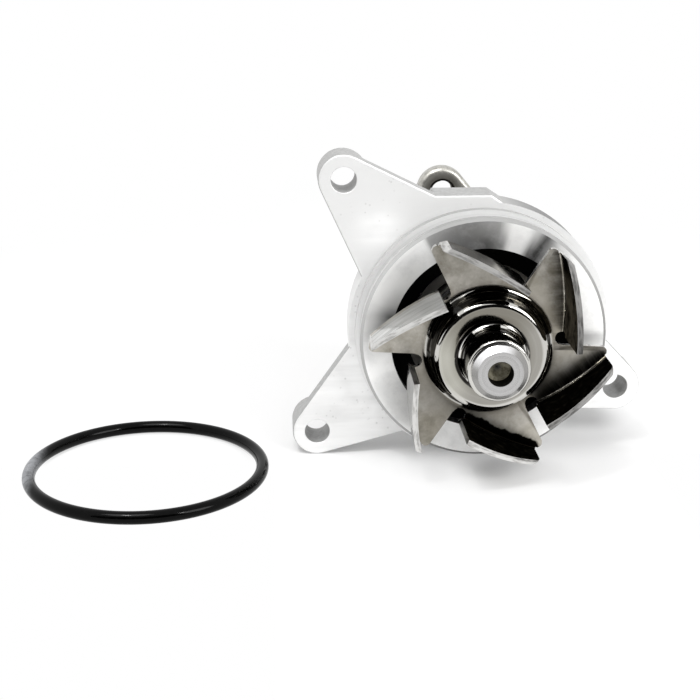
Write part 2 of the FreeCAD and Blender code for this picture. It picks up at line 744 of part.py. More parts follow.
def make_turning_seal():
    t = table
    face = t.carbon_front - t.face_gap
    back = face - t.ceramic_depth
    boot_radius = t.ceramic_radius + t.cup_wall
    sleeve_radius = t.shaft_radius + t.sleeve_wall
    sleeve_front = back - t.boot_floor - t.sheet_thickness
    turned_part("ceramic_ring", [
        (t.ceramic_inner_radius, back),
        (t.ceramic_radius, back),
        (t.ceramic_radius, face),
        (t.ceramic_inner_radius, face),
    ])
    turned_part("ceramic_boot", [
        (sleeve_radius, back - t.boot_floor),
        (boot_radius, back - t.boot_floor),
        (boot_radius, back + t.boot_lap),
        (t.ceramic_radius, back + t.boot_lap),
        (t.ceramic_radius, back),
        (sleeve_radius, back),
    ])
    turned_part("seal_sleeve", [
        (t.shaft_radius, sleeve_front),
        (t.sleeve_flange_radius, sleeve_front),
        (t.sleeve_flange_radius, sleeve_front + t.sheet_thickness),
        (sleeve_radius, sleeve_front + t.sheet_thickness),
        (sleeve_radius, t.sleeve_back),
        (t.shaft_radius, t.sleeve_back),
    ])
    turned_part("slinger", [
        (t.shaft_radius, t.slinger_place),
        (t.slinger_radius, t.slinger_place),
        (t.slinger_radius, t.slinger_place + t.slinger_depth),
        (t.shaft_radius, t.slinger_place + t.slinger_depth),
    ])


# ---------------------------------------------------------------------------------
# Impeller: one stamping with a drawn cup, a drawn collar and bent-up vanes
# ---------------------------------------------------------------------------------
def impeller_core():
    """Round middle of the stamping with the drawn cup and collar."""
    t = table
    sheet_wall = t.impeller_sheet.value
    front = t.impeller_front.value
    back = front + sheet_wall
    cup_top = front - t.cup_height.value
    collar_top = front - t.collar_height.value
    bore = t.nose_radius.value
    collar = bore + t.collar_wall.value
    inner_bend = t.collar_bend.value + t.collar_wall.value
    slope = math.hypot(t.cup_foot_radius.value - t.cup_radius.value, t.cup_height.value)
    wall = sheet_wall * slope / t.cup_height.value
    wire = rounded_wire([
        (t.core_radius.value, front, 0),
        (t.cup_foot_radius.value, front, t.cup_foot_bend.value),
        (t.cup_radius.value, cup_top, t.cup_shoulder_bend.value),
        (collar, cup_top, t.collar_bend.value),
        (collar, collar_top, t.collar_rounding.value),
        (bore, collar_top, 0),
        (bore, cup_top + sheet_wall, inner_bend),
        (t.cup_radius.value - wall, cup_top + sheet_wall, 0.3),
        (t.cup_foot_radius.value - wall, back, t.cup_foot_bend.value + sheet_wall),
        (t.core_radius.value, back, 0),
    ])
    return Part.Face(wire).revolve(ORIGIN, AXIS, FULL_TURN)


def vane_curve():
    """Middle and radius, seen along the shaft, of the outer face of the bowed vane."""
    t = table
    inner_end = t.vane_inner_end.value
    outer_end = -math.sqrt(t.impeller_radius.value ** 2 - t.vane_offset.value ** 2)
    half = (inner_end - outer_end) / 2
    bow = t.vane_bow.value
    radius = (half ** 2 + bow ** 2) / (2 * bow)
    centre = Vector((inner_end + outer_end) / 2, 0, t.vane_offset.value + bow - radius)
    return centre, radius


def blade_flat():
    """Flat part of one blade, with its vane's normal along +Z."""
    t = table
    outside = 1.2 * t.impeller_radius.value
    middle = 0.9 * t.core_radius.value
    tip = unit(90 + t.free_tip_turn.value)
    root = unit(90 + t.free_root_turn.value)
    front = t.impeller_front.value
    sheet_wall = t.impeller_sheet.value
    blank = prism([
        (middle * root[0], middle * root[1]),
        (t.core_radius.value * root[0], t.core_radius.value * root[1]),
        (outside * tip[0], outside * tip[1]),
        (t.vane_inner_end.value, outside * tip[1]),
        (t.vane_inner_end.value, middle),
    ], front, sheet_wall)
    centre, radius = vane_curve()
    before_bend = Part.makeCylinder(radius - sheet_wall - t.bend_radius.value, sheet_wall,
                                    centre + AXIS * front, AXIS)
    return blank.common(before_bend)


def vane():
    """Bend and vane of one blade, with the vane's normal along +Z."""
    t = table
    sheet_wall = t.impeller_sheet.value
    front = t.impeller_front.value
    middle, radius = vane_curve()
    outer = middle.z + radius
    inner = outer - sheet_wall
    small = t.bend_radius.value
    large = small + sheet_wall
    high = front - t.vane_inner_height.value - 2
    turn = math.sqrt(0.5)
    centre = Vector(middle.x, front - small, inner - small)

    def at(radius, share_y, share_z):
        return centre + Vector(0, radius * share_y, radius * share_z)

    inner_top = Vector(middle.x, high, inner)
    outer_top = Vector(middle.x, high, outer)
    edges = [
        Part.Arc(at(small, 1, 0), at(small, turn, turn), at(small, 0, 1)).toShape(),
        Part.LineSegment(at(small, 0, 1), inner_top).toShape(),
        Part.LineSegment(inner_top, outer_top).toShape(),
        Part.LineSegment(outer_top, at(large, 0, 1)).toShape(),
        Part.Arc(at(large, 0, 1), at(large, turn, turn), at(large, 1, 0)).toShape(),
        Part.LineSegment(at(large, 1, 0), at(small, 1, 0)).toShape(),
    ]
    sweep = math.degrees(t.impeller_radius.value / radius)
    profile = Part.Face(Part.Wire(edges))
    profile.rotate(middle, AXIS, sweep)
    strip = profile.revolve(middle, AXIS, -2 * sweep)
    # the top edge is a shallow bow from the high inner end to the low, rounded outer end
    inner_end = t.vane_inner_end.value
    outer_end = -math.sqrt(t.impeller_radius.value ** 2
                           - (t.vane_offset.value - sheet_wall) ** 2)
    high_end = front - t.vane_inner_height.value
    low_end = front - t.vane_outer_height.value
    bow = 2 * t.vane_crown.value
    half = math.hypot(inner_end - outer_end, low_end - high_end) / 2
    behind = front + 2 * sheet_wall
    side = rounded_wire([
        (inner_end, high_end, 0),
        ((inner_end + outer_end) / 2, (high_end + low_end) / 2 - bow, 0.8 * half * half / bow),
        (outer_end, low_end, t.tip_rounding.value),
        (outer_end, behind, 0),
        (inner_end, behind, 0),
    ])
    window = Part.Face(side).extrude(Vector(0, 0, 2 * outer))
    return strip.common(window)


def round_tip(flat):
    """Round the free corner of a blade, as far as its outside edge is long enough."""
    outside = table.impeller_radius.value
    beyond = [edge for edge in flat.Edges
              if all(abs(math.hypot(end.X, end.Z) - outside) < 0.01 for end in edge.Vertexes)]
    corner = min(beyond, key=lambda edge: edge.CenterOfMass.z)
    length = max(edge.Length for edge in beyond)
    return flat.makeFillet(min(table.tip_rounding.value, 0.85 * length), [corner])


def make_impeller():
    t = table
    front = t.impeller_front.value
    depth = t.vane_inner_height.value + 4 * t.impeller_sheet.value
    limit = Part.makeCylinder(t.impeller_radius.value, 2 * depth,
                              Vector(0, front - depth, 0), AXIS)
    blade = round_tip(blade_flat().common(limit)).fuse(vane().common(limit))
    notch_x, notch_z = unit(90 + t.notch_turn.value)
    notch_top = front - t.bend_radius.value - t.impeller_sheet.value
    notch = Part.makeCylinder(
        t.notch_radius.value, 3 * (front - notch_top),
        Vector(t.notch_place.value * notch_x, notch_top, t.notch_place.value * notch_z), AXIS)
    count = int(t.blade_count.value)
    stamping = impeller_core().multiFuse(around_axis(blade, count))
    stamping = stamping.cut(Part.makeCompound(around_axis(notch, count))).removeSplitter()
    stamping.rotate(ORIGIN, AXIS, 90 - t.blade_turn.value)
    new_feature("impeller", stamping)


# ---------------------------------------------------------------------------------
# Pulley hub
# ---------------------------------------------------------------------------------
def make_pulley_hub():
    t = table
    body = new_body("pulley_hub")
    directions = [t.hub_bolt_turn.value + 120 * number for number in range(3)]
    places = []
    corners = []
    for direction in directions:
        along = unit(direction)
        place = (t.hub_bolt_radius * along[0], t.hub_bolt_radius * along[1])
        places.append(place)
        for side in (-60, 60):
            normal = unit(direction + side)
            corners.append((place[0] + t.hub_corner_radius * normal[0],
                            place[1] + t.hub_corner_radius * normal[1]))
    pad(body, "hub_triangle", t.hub_plate_front, t.hub_plate_depth,
        lambda sketch: add_loop(sketch, corners))
    for number, place in enumerate(places):
        pad(body, f"hub_corner_{number + 1}", t.hub_plate_front, t.hub_plate_depth,
            lambda sketch: add_circle(sketch, place, t.hub_corner_radius))
    flats = (t.hub_plate_front.value, (t.hub_plate_front + t.hub_plate_depth).value)
    dress(body, "Fillet", "hub_edge_rounding", "Radius", t.hub_rounding,
          lambda edge: flat_at(edge, flats[0]) or flat_at(edge, flats[1]))
    pad(body, "hub_boss", t.hub_boss_front, t.hub_boss_back - t.hub_boss_front,
        lambda sketch: add_circle(sketch, (0, 0), t.hub_boss_radius))
    pad(body, "hub_pilot", t.hub_plate_front, t.hub_pilot_back - t.hub_plate_front,
        lambda sketch: add_circle(sketch, (0, 0), t.hub_pilot_radius))
    through_hole(body, "hub_bore", [(0, 0)], t.shaft_radius, t.hub_plate_front)
    through_hole(body, "hub_bolt_holes", places, t.hub_hole_radius, t.hub_plate_front)
    dress(body, "Chamfer", "hub_hole_chamfers", "Size", t.hub_hole_chamfer,
          lambda edge: flat_at(edge, flats[0]) and has_radius(edge, t.hub_hole_radius))
    return body


# ---------------------------------------------------------------------------------
# Rubber ring of the spigot, lying loose on the same level as the pump stands on
# ---------------------------------------------------------------------------------
def make_ring():
    t = table
    ring = doc.addObject("Part::Torus", "o_ring")
    ring.Label = "o_ring"
    bind(ring, "Radius1", t.ring_radius)
    bind(ring, "Radius2", t.ring_section)
    bind(ring, "Placement.Base.x", t.ring_x)
    bind(ring, "Placement.Base.y", t.ring_y)
    bind(ring, "Placement.Base.z", t.ring_section - t.rim_radius)
    NODES.append(ring)


make_housing()
make_shaft()
make_bearing_ring()
make_balls()
make_rollers()
make_bearing_seal("front_bearing_seal", table.chamber_end + table.bearing_seal_inset)
make_bearing_seal("back_bearing_seal",
                  table.bearing_end - table.bearing_seal_inset - table.bearing_seal_width)
make_fixed_seal()
make_turning_seal()
make_impeller()
make_pulley_hub()
make_ring()
doc.recompute()

# ---------------------------------------------------------------------------------
# Check every object and write one STEP file for each node
# ---------------------------------------------------------------------------------
for item in doc.Objects:
    if {"Invalid", "Error"} & set(item.State):
        raise RuntimeError(f"{item.Name} failed: {item.State}")
for node in NODES:
    if node.Shape.isNull() or not node.Shape.isValid() or not node.Shape.Solids:
        raise RuntimeError(f"{node.Label} has no valid solid")

os.makedirs("parts", exist_ok=True)
for node in NODES:
    node.Shape.exportStep(f"parts/{node.Label}.step")
    box = node.Shape.BoundBox
    print(f"{node.Label}: {len(node.Shape.Solids)} solids, {node.Shape.Volume:.1f} mm3, "
          f"{box.XLength:.2f} x {box.YLength:.2f} x {box.ZLength:.2f}")
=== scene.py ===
# %% [markdown]
# # Dressing an engine coolant pump
#
# The pump arrives from CAD as a set of named metal, rubber and ceramic nodes, already at
# their real sizes and places. This notebook gives them finishes, adds the small things
# that casting, stamping and moulding leave behind, and sets up a plain studio.
# The shaft is the Y axis, the impeller faces -Y, and everything is in metres.

# %% Load the frame
import bpy
import math
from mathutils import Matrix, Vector


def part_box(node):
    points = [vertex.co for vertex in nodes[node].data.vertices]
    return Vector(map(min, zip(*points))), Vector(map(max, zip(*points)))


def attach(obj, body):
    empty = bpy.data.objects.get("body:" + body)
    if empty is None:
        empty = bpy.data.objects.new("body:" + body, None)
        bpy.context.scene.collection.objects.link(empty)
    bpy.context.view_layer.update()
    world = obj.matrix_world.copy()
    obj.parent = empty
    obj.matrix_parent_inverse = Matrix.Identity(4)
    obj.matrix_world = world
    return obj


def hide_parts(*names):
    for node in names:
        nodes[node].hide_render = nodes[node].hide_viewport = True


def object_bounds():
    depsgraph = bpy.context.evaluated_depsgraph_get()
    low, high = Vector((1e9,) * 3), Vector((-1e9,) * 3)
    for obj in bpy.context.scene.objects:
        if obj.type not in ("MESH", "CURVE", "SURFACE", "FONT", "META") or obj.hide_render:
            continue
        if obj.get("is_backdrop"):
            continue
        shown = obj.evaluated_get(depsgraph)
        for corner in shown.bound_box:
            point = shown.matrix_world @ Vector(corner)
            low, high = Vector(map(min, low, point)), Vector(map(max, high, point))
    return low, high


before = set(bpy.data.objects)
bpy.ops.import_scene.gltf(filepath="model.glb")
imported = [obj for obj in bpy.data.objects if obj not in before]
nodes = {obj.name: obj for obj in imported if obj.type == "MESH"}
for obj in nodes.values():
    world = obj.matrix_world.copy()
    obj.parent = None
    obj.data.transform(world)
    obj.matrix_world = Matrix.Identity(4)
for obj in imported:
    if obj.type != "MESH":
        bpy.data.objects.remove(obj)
MM = 0.001
FLOOR = min(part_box("housing")[0].z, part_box("o_ring")[0].z)
CAD_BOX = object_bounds()
print("nodes:", len(nodes), "floor at", round(FLOOR / MM, 2), "mm")

# %% [markdown]
# ## Sizes that the finishes and the small pieces share
#
# A finish often changes at a step of the part, such as the edge of a turned face. Some of
# these sizes are read from the boxes of the nodes, so that they follow the CAD model. A
# box can't tell the others, the radii inside a node and the place of the vanes, so these
# are written down as they are in the CAD model.

# %% Read the sizes
impeller_low, impeller_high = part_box("impeller")
boot_low, boot_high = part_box("ceramic_boot")
coil_low, coil_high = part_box("seal_spring")
hub_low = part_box("pulley_hub")[0]
ring_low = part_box("o_ring")[0]

SHEET = 1.5 * MM
BLADE_FRONT = impeller_high.y - SHEET
IMPELLER_RADIUS = 32.3 * MM
VANE_COUNT = 6
VANE_NORMAL = math.radians(64.2)
VANE_OFFSET = 21.9 * MM
VANE_BOW = 0.8 * MM
VANE_MIDDLE = 10.8 * MM
VANE_HALF_LENGTH = 12.9 * MM
HOLE_CIRCLE = 30.0 * MM
HUB_TURN = math.radians(99.5)
print("blades at", round(BLADE_FRONT / MM, 2), "mm, collar from",
      round(impeller_low.y / MM, 2), "mm")

# %% [markdown]
# ## The camera
#
# A pump like this is shown from the impeller side, a little from above and a little from
# the left, with a long lens so that the round faces stay nearly round.

# %% Make the camera
camera_data = bpy.data.cameras.new("camera")
camera = bpy.data.objects.new("camera", camera_data)
bpy.context.scene.collection.objects.link(camera)
camera.location = Vector((-56.5, -358.3, 111.4)) * MM
camera.rotation_mode = "QUATERNION"
camera.rotation_quaternion = Vector((0.0537, 0.9494, -0.3093)).to_track_quat("-Z", "Y")
camera_data.sensor_width = 36.0
camera_data.lens = 69.07
camera_data.clip_start = 0.01
bpy.context.scene.camera = camera
print("camera at", [round(value, 4) for value in camera.location])

# %% [markdown]
# ## Writing shaders as sums
#
# Node trees are easier to read as formulas. `Signal` wraps the output of a node and
# overloads the arithmetic operators, so that `1 - mask` adds the Math node by itself.
# `Finish` is a material. Its method `node` makes every node, and the short methods after
# it name the few kinds that the finishes use. A mask is a signal from 0 to 1, and `coat`
# lays colours over each other, each with its mask.

# %% Signals and finishes
class Signal:
    """A number that varies over a surface: one output socket and the finish it is in."""

    def __init__(self, finish, socket):
        self.finish = finish
        self.socket = socket

    def math(self, operation, *others):
        return self.finish.math(operation, self, *others)

    def __add__(self, other):
        return self.math("ADD", other)

    def __radd__(self, other):
        return self.math("ADD", other)

    def __sub__(self, other):
        return self.math("SUBTRACT", other)

    def __rsub__(self, other):
        return self.finish.math("SUBTRACT", other, self)

    def __mul__(self, other):
        return self.math("MULTIPLY", other)

    def __rmul__(self, other):
        return self.math("MULTIPLY", other)

    def __truediv__(self, other):
        return self.math("DIVIDE", other)

    def above(self, low, high):
        """0 below low, 1 above high, smooth between."""
        made = self.finish.node(
            "ShaderNodeMapRange", {"interpolation_type": "SMOOTHSTEP"},
            {"Value": self, "From Min": low, "From Max": high})
        return Signal(self.finish, made.outputs["Result"])

    def below(self, low, high):
        return 1 - self.above(low, high)


class Finish:
    """A material. Constants go on the shader's sockets, and signals come from nodes."""

    def __init__(self, name, **constants):
        self.material = bpy.data.materials.new(name)
        self.material.use_nodes = True
        self.tree = self.material.node_tree
        self.shader = self.tree.nodes["Principled BSDF"]
        for socket, value in constants.items():
            self.feed(self.shader.inputs[socket.replace("_", " ")], value)
        self.finish_place()

    def feed(self, socket, value):
        if isinstance(value, Signal):
            value = value.socket
        if isinstance(value, bpy.types.NodeSocket):
            self.tree.links.new(value, socket)
        elif socket.type == "RGBA" and len(value) == 3:
            socket.default_value = (*value, 1.0)
        else:
            socket.default_value = value

    def node(self, kind, settings=None, inputs=None):
        """Any node: its settings first, a colour ramp's stops among them, then its inputs."""
        made = self.tree.nodes.new(kind)
        for name, value in (settings or {}).items():
            if name == "stops":
                self.set_stops(made.color_ramp, value)
            else:
                setattr(made, name, value)
        for name, value in (inputs or {}).items():
            self.feed(made.inputs[name], value)
        return made

    def set_stops(self, ramp, stops):
        while len(ramp.elements) < len(stops):
            ramp.elements.new(0.5)
        for element, (place, colour) in zip(ramp.elements, stops):
            element.position = place
            element.color = (*colour, 1.0)

    def math(self, operation, *values):
        made = self.node("ShaderNodeMath", {"operation": operation},
                         dict(enumerate(values)))
        return Signal(self, made.outputs[0])

    def finish_place(self):
        """Where a point of the surface is and where it faces, on the piece itself."""
        self.coordinates = self.node("ShaderNodeTexCoord").outputs["Object"]
        self.x, self.y, self.z = self.split(self.coordinates)
        self.radius = self.distance(self.x, self.z)
        self.turn = self.math("ARCTAN2", self.z, self.x)
        facing = self.node(
            "ShaderNodeVectorTransform",
            {"vector_type": "NORMAL", "convert_from": "WORLD", "convert_to": "OBJECT"},
            {0: self.node("ShaderNodeNewGeometry").outputs["True Normal"]}).outputs[0]
        self.face_x, self.face_y, self.face_z = self.split(facing)

    def split(self, vector):
        made = self.node("ShaderNodeSeparateXYZ", inputs={0: vector})
        return [Signal(self, made.outputs[index]) for index in range(3)]

    def join(self, x, y, z):
        return self.node("ShaderNodeCombineXYZ", inputs={0: x, 1: y, 2: z}).outputs[0]

    def distance(self, across, up):
        return self.math("SQRT", across * across + up * up)

    def towards(self, degrees):
        """1 in one direction round the shaft, 0 a quarter turn away and -1 opposite."""
        return self.math("COSINE", self.turn - math.radians(degrees))

    def noise(self, scale, detail=2.0, roughness=0.5, vector=None):
        made = self.node("ShaderNodeTexNoise", {"noise_dimensions": "3D"}, {
            "Vector": vector or self.coordinates, "Scale": scale,
            "Detail": detail, "Roughness": roughness})
        return Signal(self, made.outputs["Fac"])

    def cells(self, scale):
        made = self.node("ShaderNodeTexVoronoi", {"feature": "F1"}, {
            "Vector": self.coordinates, "Scale": scale})
        return Signal(self, made.outputs["Distance"])

    def seen_ray(self):
        """1 for the camera and for mirrors and glass, 0 for soft light."""
        rays = self.node("ShaderNodeLightPath").outputs
        mirrored = self.math("MAXIMUM", rays["Is Glossy Ray"], rays["Is Transmission Ray"])
        return self.math("MAXIMUM", rays["Is Camera Ray"], mirrored)

    def ramp(self, signal, stops):
        return self.node("ShaderNodeValToRGB", {"stops": stops}, {"Fac": signal}).outputs[0]

    def mix(self, factor, first, second):
        """Colour that goes from first to second as the factor goes from 0 to 1."""
        made = self.node("ShaderNodeMix", {"data_type": "RGBA"},
                         {"Factor": factor, 6: first, 7: second})
        return made.outputs[2]

    def coat(self, colour, *coats):
        """Lay colours over a first one. Each coat is a mask and a colour."""
        for mask, coat_colour in coats:
            colour = self.mix(mask, colour, coat_colour)
        return colour

    def bump(self, height, distance):
        """Relief: height 0 to 1 times the distance."""
        return self.node("ShaderNodeBump", inputs={
            "Height": height, "Distance": distance, "Strength": 1.0}).outputs[0]

    def set(self, **values):
        for socket, value in values.items():
            self.feed(self.shader.inputs[socket.replace("_", " ")], value)
        return self.material


def wear(node_name, material):
    """Give a CAD node one finish."""
    mesh = nodes[node_name].data
    mesh.materials.clear()
    mesh.materials.append(material)


print("shader kit ready")

# %% [markdown]
# ## The housing: one casting, three kinds of surface
#
# The housing is die-cast aluminium. As cast it has a slightly rough grey skin. The ears
# and the flange are milled flat in front and come out nearly white. The round spigot is
# turned on a lathe, and its fine circular grooves spread every reflection along the
# radius into light and dark sectors like those on a saucepan's bottom. Here these
# sectors, and the dark part of the flange's rim, are painted reflections in the colour,
# so they stay where they are when the view or the lamps change. The cavity inside is
# painted black, as shade. One material makes all of these, and masks built from the
# place and the direction of each face choose between them.
#
# A mask never starts at a hard line. `edge` gives the two places between which it grows
# from nothing to full, and each edge is named after what it is the edge of.

# %% Edges of the housing's surfaces
def edge(start, end, base=0.0):
    """Where a mask starts and where it is full, in millimetres from a base."""
    return base + start * MM, base + end * MM


# Radii.
BORE_WALL = edge(17.0, 17.4)
MOUTH_EDGE = edge(25.3, 25.5)
MOUTH_WALL = edge(25.45, 25.6)
LATHE_LIGHT = edge(26.0, 32.6)
STEPS_INNER = edge(30.9, 31.1)
CHAMFER_INNER = edge(33.0, 33.1)
STEPS_OUTER = edge(35.2, 35.4)
RIM_INNER = edge(36.3, 36.5)
RIM_OUTER = edge(36.8, 37.0)
# Places along the shaft.
LIP_FACE = edge(-8.9, -8.5)
LIP_BACK = edge(-8.2, -8.0)
FLANGE_FRONT = edge(-0.4, -0.2)
STEPS_BACK = edge(-0.2, 0.0)
FLANGE_FACE = edge(0.1, 0.3)
MOUTH_END = edge(10.0, 10.5)
RIM_BACK = edge(11.2, 11.4)
BORE_END = edge(44, 45)
print("turned face from radius", round(MOUTH_EDGE[1] / MM, 2), "mm")

# %% Masks of the housing
cast = Finish("cast_aluminium", IOR=1.4)
faces_front = cast.face_y.below(-0.97, -0.90)
faces_out = cast.face_y.above(-0.3, -0.2) * cast.face_y.below(0.2, 0.3)
on_spigot = cast.y.below(*LIP_BACK)
on_flange = cast.y.above(*FLANGE_FRONT) * cast.y.below(*FLANGE_FACE)
turned_face = faces_front * on_spigot * cast.radius.above(*MOUTH_EDGE)
milled_face = cast.face_y.below(-0.6, -0.5) * on_flange
in_mouth = cast.radius.below(*MOUTH_WALL) * cast.y.below(*MOUTH_END)
in_bore = cast.radius.below(*BORE_WALL) * cast.y.below(*BORE_END)
in_cavity = cast.math("MAXIMUM", in_mouth, in_bore) * cast.y.above(*LIP_FACE)
lip_chamfer = on_spigot * (1 - faces_front) * cast.radius.above(*CHAMFER_INNER)
ring_steps = (cast.radius.above(*STEPS_INNER) * cast.radius.below(*STEPS_OUTER)
              * cast.y.below(*STEPS_BACK) * (1 - turned_face))
on_rim = (faces_out * cast.radius.above(*RIM_INNER) * cast.radius.below(*RIM_OUTER)
          * cast.y.below(*RIM_BACK))
print("housing masks ready")

# %% Painted reflections on the turned face and the rim, round the shaft
# Each stop is a place round the shaft, from 0 to 1, and the tone of a painted reflection.
# The count starts at the left and runs down, to the right and over the top.
REFLECTIONS_NEAR_MOUTH = [
    (0.00, 0.60), (0.03, 0.98), (0.08, 0.84), (0.14, 0.78), (0.20, 0.98), (0.36, 0.88),
    (0.48, 0.70), (0.503, 0.38), (0.515, 0.80), (0.60, 0.75), (0.64, 0.44), (0.667, 0.01),
    (0.68, 0.12), (0.693, 0.66), (0.712, 0.66), (0.724, 0.18), (0.75, 0.07), (0.78, 0.13),
    (0.833, 0.14), (0.838, 0.66), (0.85, 0.80), (0.90, 0.66), (0.94, 0.40), (0.96, 0.10),
    (1.00, 0.60),
]
REFLECTIONS_NEAR_LIP = [
    (0.00, 0.72), (0.05, 0.95), (0.12, 0.80), (0.20, 0.98), (0.36, 0.92), (0.48, 0.84),
    (0.503, 0.60), (0.512, 0.92), (0.60, 0.94), (0.645, 0.58), (0.667, 0.05), (0.68, 0.44),
    (0.693, 0.76), (0.715, 0.72), (0.735, 0.27), (0.78, 0.15), (0.833, 0.32), (0.838, 0.76),
    (0.86, 0.76), (0.90, 0.74), (0.94, 0.74), (0.96, 0.60), (1.00, 0.66),
]
RIM_REFLECTIONS = [
    (0.00, 0.82), (0.20, 0.60), (0.52, 0.46), (0.58, 0.26), (0.62, 0.19), (0.67, 0.19),
    (0.70, 0.30), (0.74, 0.55), (0.90, 0.76), (1.00, 0.82),
]
print("tones:", len(REFLECTIONS_NEAR_MOUTH) + len(REFLECTIONS_NEAR_LIP) + len(RIM_REFLECTIONS))


# %% Light and dark sectors, painted as reflections
def reflections_round_shaft(place, tones):
    """Painted reflections: greys round the shaft, a touch warmer than neutral."""
    return cast.ramp(place, [(stop, (tone, tone, tone * 0.99)) for stop, tone in tones])


around = cast.turn / (2 * math.pi) + 0.5
fine_ray = cast.noise(9.0, 3.0, 0.6, cast.join(
    cast.x / cast.radius, cast.z / cast.radius, cast.radius * 6.0))
sector_place = around + (fine_ray - 0.5) * 0.012
haze = cast.noise(230.0, 5.0, 0.7)
# The turned face takes the painted reflections, with a random haze over them.
turned_reflections_and_haze = cast.coat(
    reflections_round_shaft(sector_place, REFLECTIONS_NEAR_MOUTH),
    (cast.radius.above(*LATHE_LIGHT), reflections_round_shaft(sector_place, REFLECTIONS_NEAR_LIP)),
    (haze.above(0.42, 0.72) * 0.22, (0.42, 0.42, 0.425)))
# The flange's rim is painted darker on its upper right, as a reflection.
rim_reflections = reflections_round_shaft(sector_place, RIM_REFLECTIONS)
print("sectors ready")

# %% Grain and marks of the housing
grain = cast.noise(900.0, 4.0, 0.62)
pebble = cast.noise(260.0, 2.0, 0.5)
cloudy = cast.noise(70.0, 3.0, 0.6)
cutter_marks = cast.noise(120.0, 3.0, 0.6, cast.join(cast.x * 0.25, cast.y, cast.z * 2.2))
lathe_lines = cast.noise(2600.0, 2.0, 0.7, cast.join(cast.radius, 0.0, 0.0))
pores = cast.cells(520.0).below(0.10, 0.20) * cloudy.above(0.46, 0.60)
as_cast = (1 - turned_face) * (1 - milled_face) * (1 - ring_steps)
cast_relief = grain * 0.6 + pebble * 0.8
relief = cast_relief * as_cast + lathe_lines * turned_face * 0.3 + cutter_marks * 0.12
print("marks of the housing ready")

# %% Milled face
# The milled face is painted lighter low down, as light, with a painted highlight in one
# soft spot beside the upper ear.
HIGHLIGHT_WHITE = (0.97, 0.97, 0.965)
LOW_DOWN = edge(-12, 34)
highlight_spot = cast.distance(cast.x + 28 * MM, cast.z - 29 * MM).below(*edge(0, 14))
scoured = cutter_marks.above(0.35, 0.7) * 0.5 + cloudy.above(0.45, 0.75) * 0.5
milled_colour = cast.coat(
    (0.76, 0.76, 0.755),
    (cast.z.below(*LOW_DOWN), HIGHLIGHT_WHITE),
    (highlight_spot * highlight_spot, HIGHLIGHT_WHITE),
    (scoured, (0.78, 0.78, 0.775)),
    (pores * 0.32, (0.34, 0.34, 0.33)))
print("milled face ready")

# %% Put the housing's finish together
on_left = cast.x.below(*edge(-30, -10))
cast_colour = cast.mix(grain.above(0.3, 0.7), (0.48, 0.48, 0.475), (0.375, 0.375, 0.37))
# The outward walls of the steps are painted darker, as shade, much less on the left.
steps_colour = cast.coat(
    (0.88, 0.88, 0.875),
    (lathe_lines.above(0.4, 0.7), (0.73, 0.73, 0.725)),
    (faces_out * (1 - on_left * 0.7), (0.38, 0.38, 0.375)))
# The lip's chamfer is painted dark, as shade and dark reflection, and lighter at the top and
# on the left, as light.
chamfer_painted_light = cast.coat(
    (0.26, 0.26, 0.255),
    (cast.z.above(*edge(-8, 30)), (0.36, 0.36, 0.355)),
    (on_left * 0.5, (0.70, 0.70, 0.695)))
# The cavity is painted nearly black, as shade.
housing_colour = cast.coat(
    cast_colour,
    (milled_face, milled_colour),
    (on_rim, rim_reflections),
    (ring_steps, steps_colour),
    (lip_chamfer, chamfer_painted_light),
    (turned_face, turned_reflections_and_haze),
    (in_cavity, (0.006, 0.006, 0.006)))
housing_roughness = (0.42 + pebble * 0.12 - (turned_face + ring_steps) * 0.14
                     + in_cavity * 0.3 + lip_chamfer * 0.4)
wear("housing", cast.set(
    Base_Color=housing_colour, Roughness=housing_roughness,
    Metallic=0.42 + in_cavity * 0.58 - turned_face * 0.25,
    Normal=cast.bump(relief, 0.09 * MM)))
print("housing finished")

# %% [markdown]
# ## The impeller: stamped and drawn steel
#
# The impeller is one steel stamping. The rolled sheet is a warm grey with faint mottling
# from the rolling and the tumbling. The cup and the collar are drawn over a punch, so
# they are burnished bright. The cut edges are bright and rough, because shearing tears
# the last part of the sheet. The cut edges of the vanes are found from their direction:
# a vane's own faces look along one of six directions, and any other face is a cut.
# On the vanes the bright sheared half of the edge is the outer one, the torn half is dull.
# The insides of the vanes and the walls of the cup and the collar are painted nearly
# black, as shade. Beside the folds of some blades the sheet is painted darker as well, as
# shade in the crease.

# %% Edges of the stamping
# Radii.
CUP_FACE = edge(8.8, 9.6)
COLLAR_WALL = edge(9.9, 10.3)
CUP_SHOULDER = edge(13.2, 13.9)
CUP_WALL = edge(14.3, 14.6)
DRAWN_PART = edge(16.9, 17.5)
OUTSIDE_CUP = edge(17.4, 17.8)
RIM_CUT = edge(-0.12, -0.05, IMPELLER_RADIUS)
# Places along the shaft.
COLLAR_TIP = edge(-35.3, -35.0)
COLLAR_FRONT = edge(0.7, 1.1, impeller_low.y)
CUP_FRONT = edge(-5.9, -5.3, BLADE_FRONT)
VANE_START = edge(-2.6, -2.2, BLADE_FRONT)
FOLD_START = edge(-1.3, -1.0, BLADE_FRONT)
FOLD_END = edge(-0.9, -0.5, BLADE_FRONT)
BLADE_FACE = edge(-0.1, 0.0, BLADE_FRONT)
# Distances from the axis, square to a vane.
TORN_HALF = edge(-1.05, -0.75, VANE_OFFSET)
print("vanes start", round(VANE_START[1] / MM, 2), "mm along the shaft")

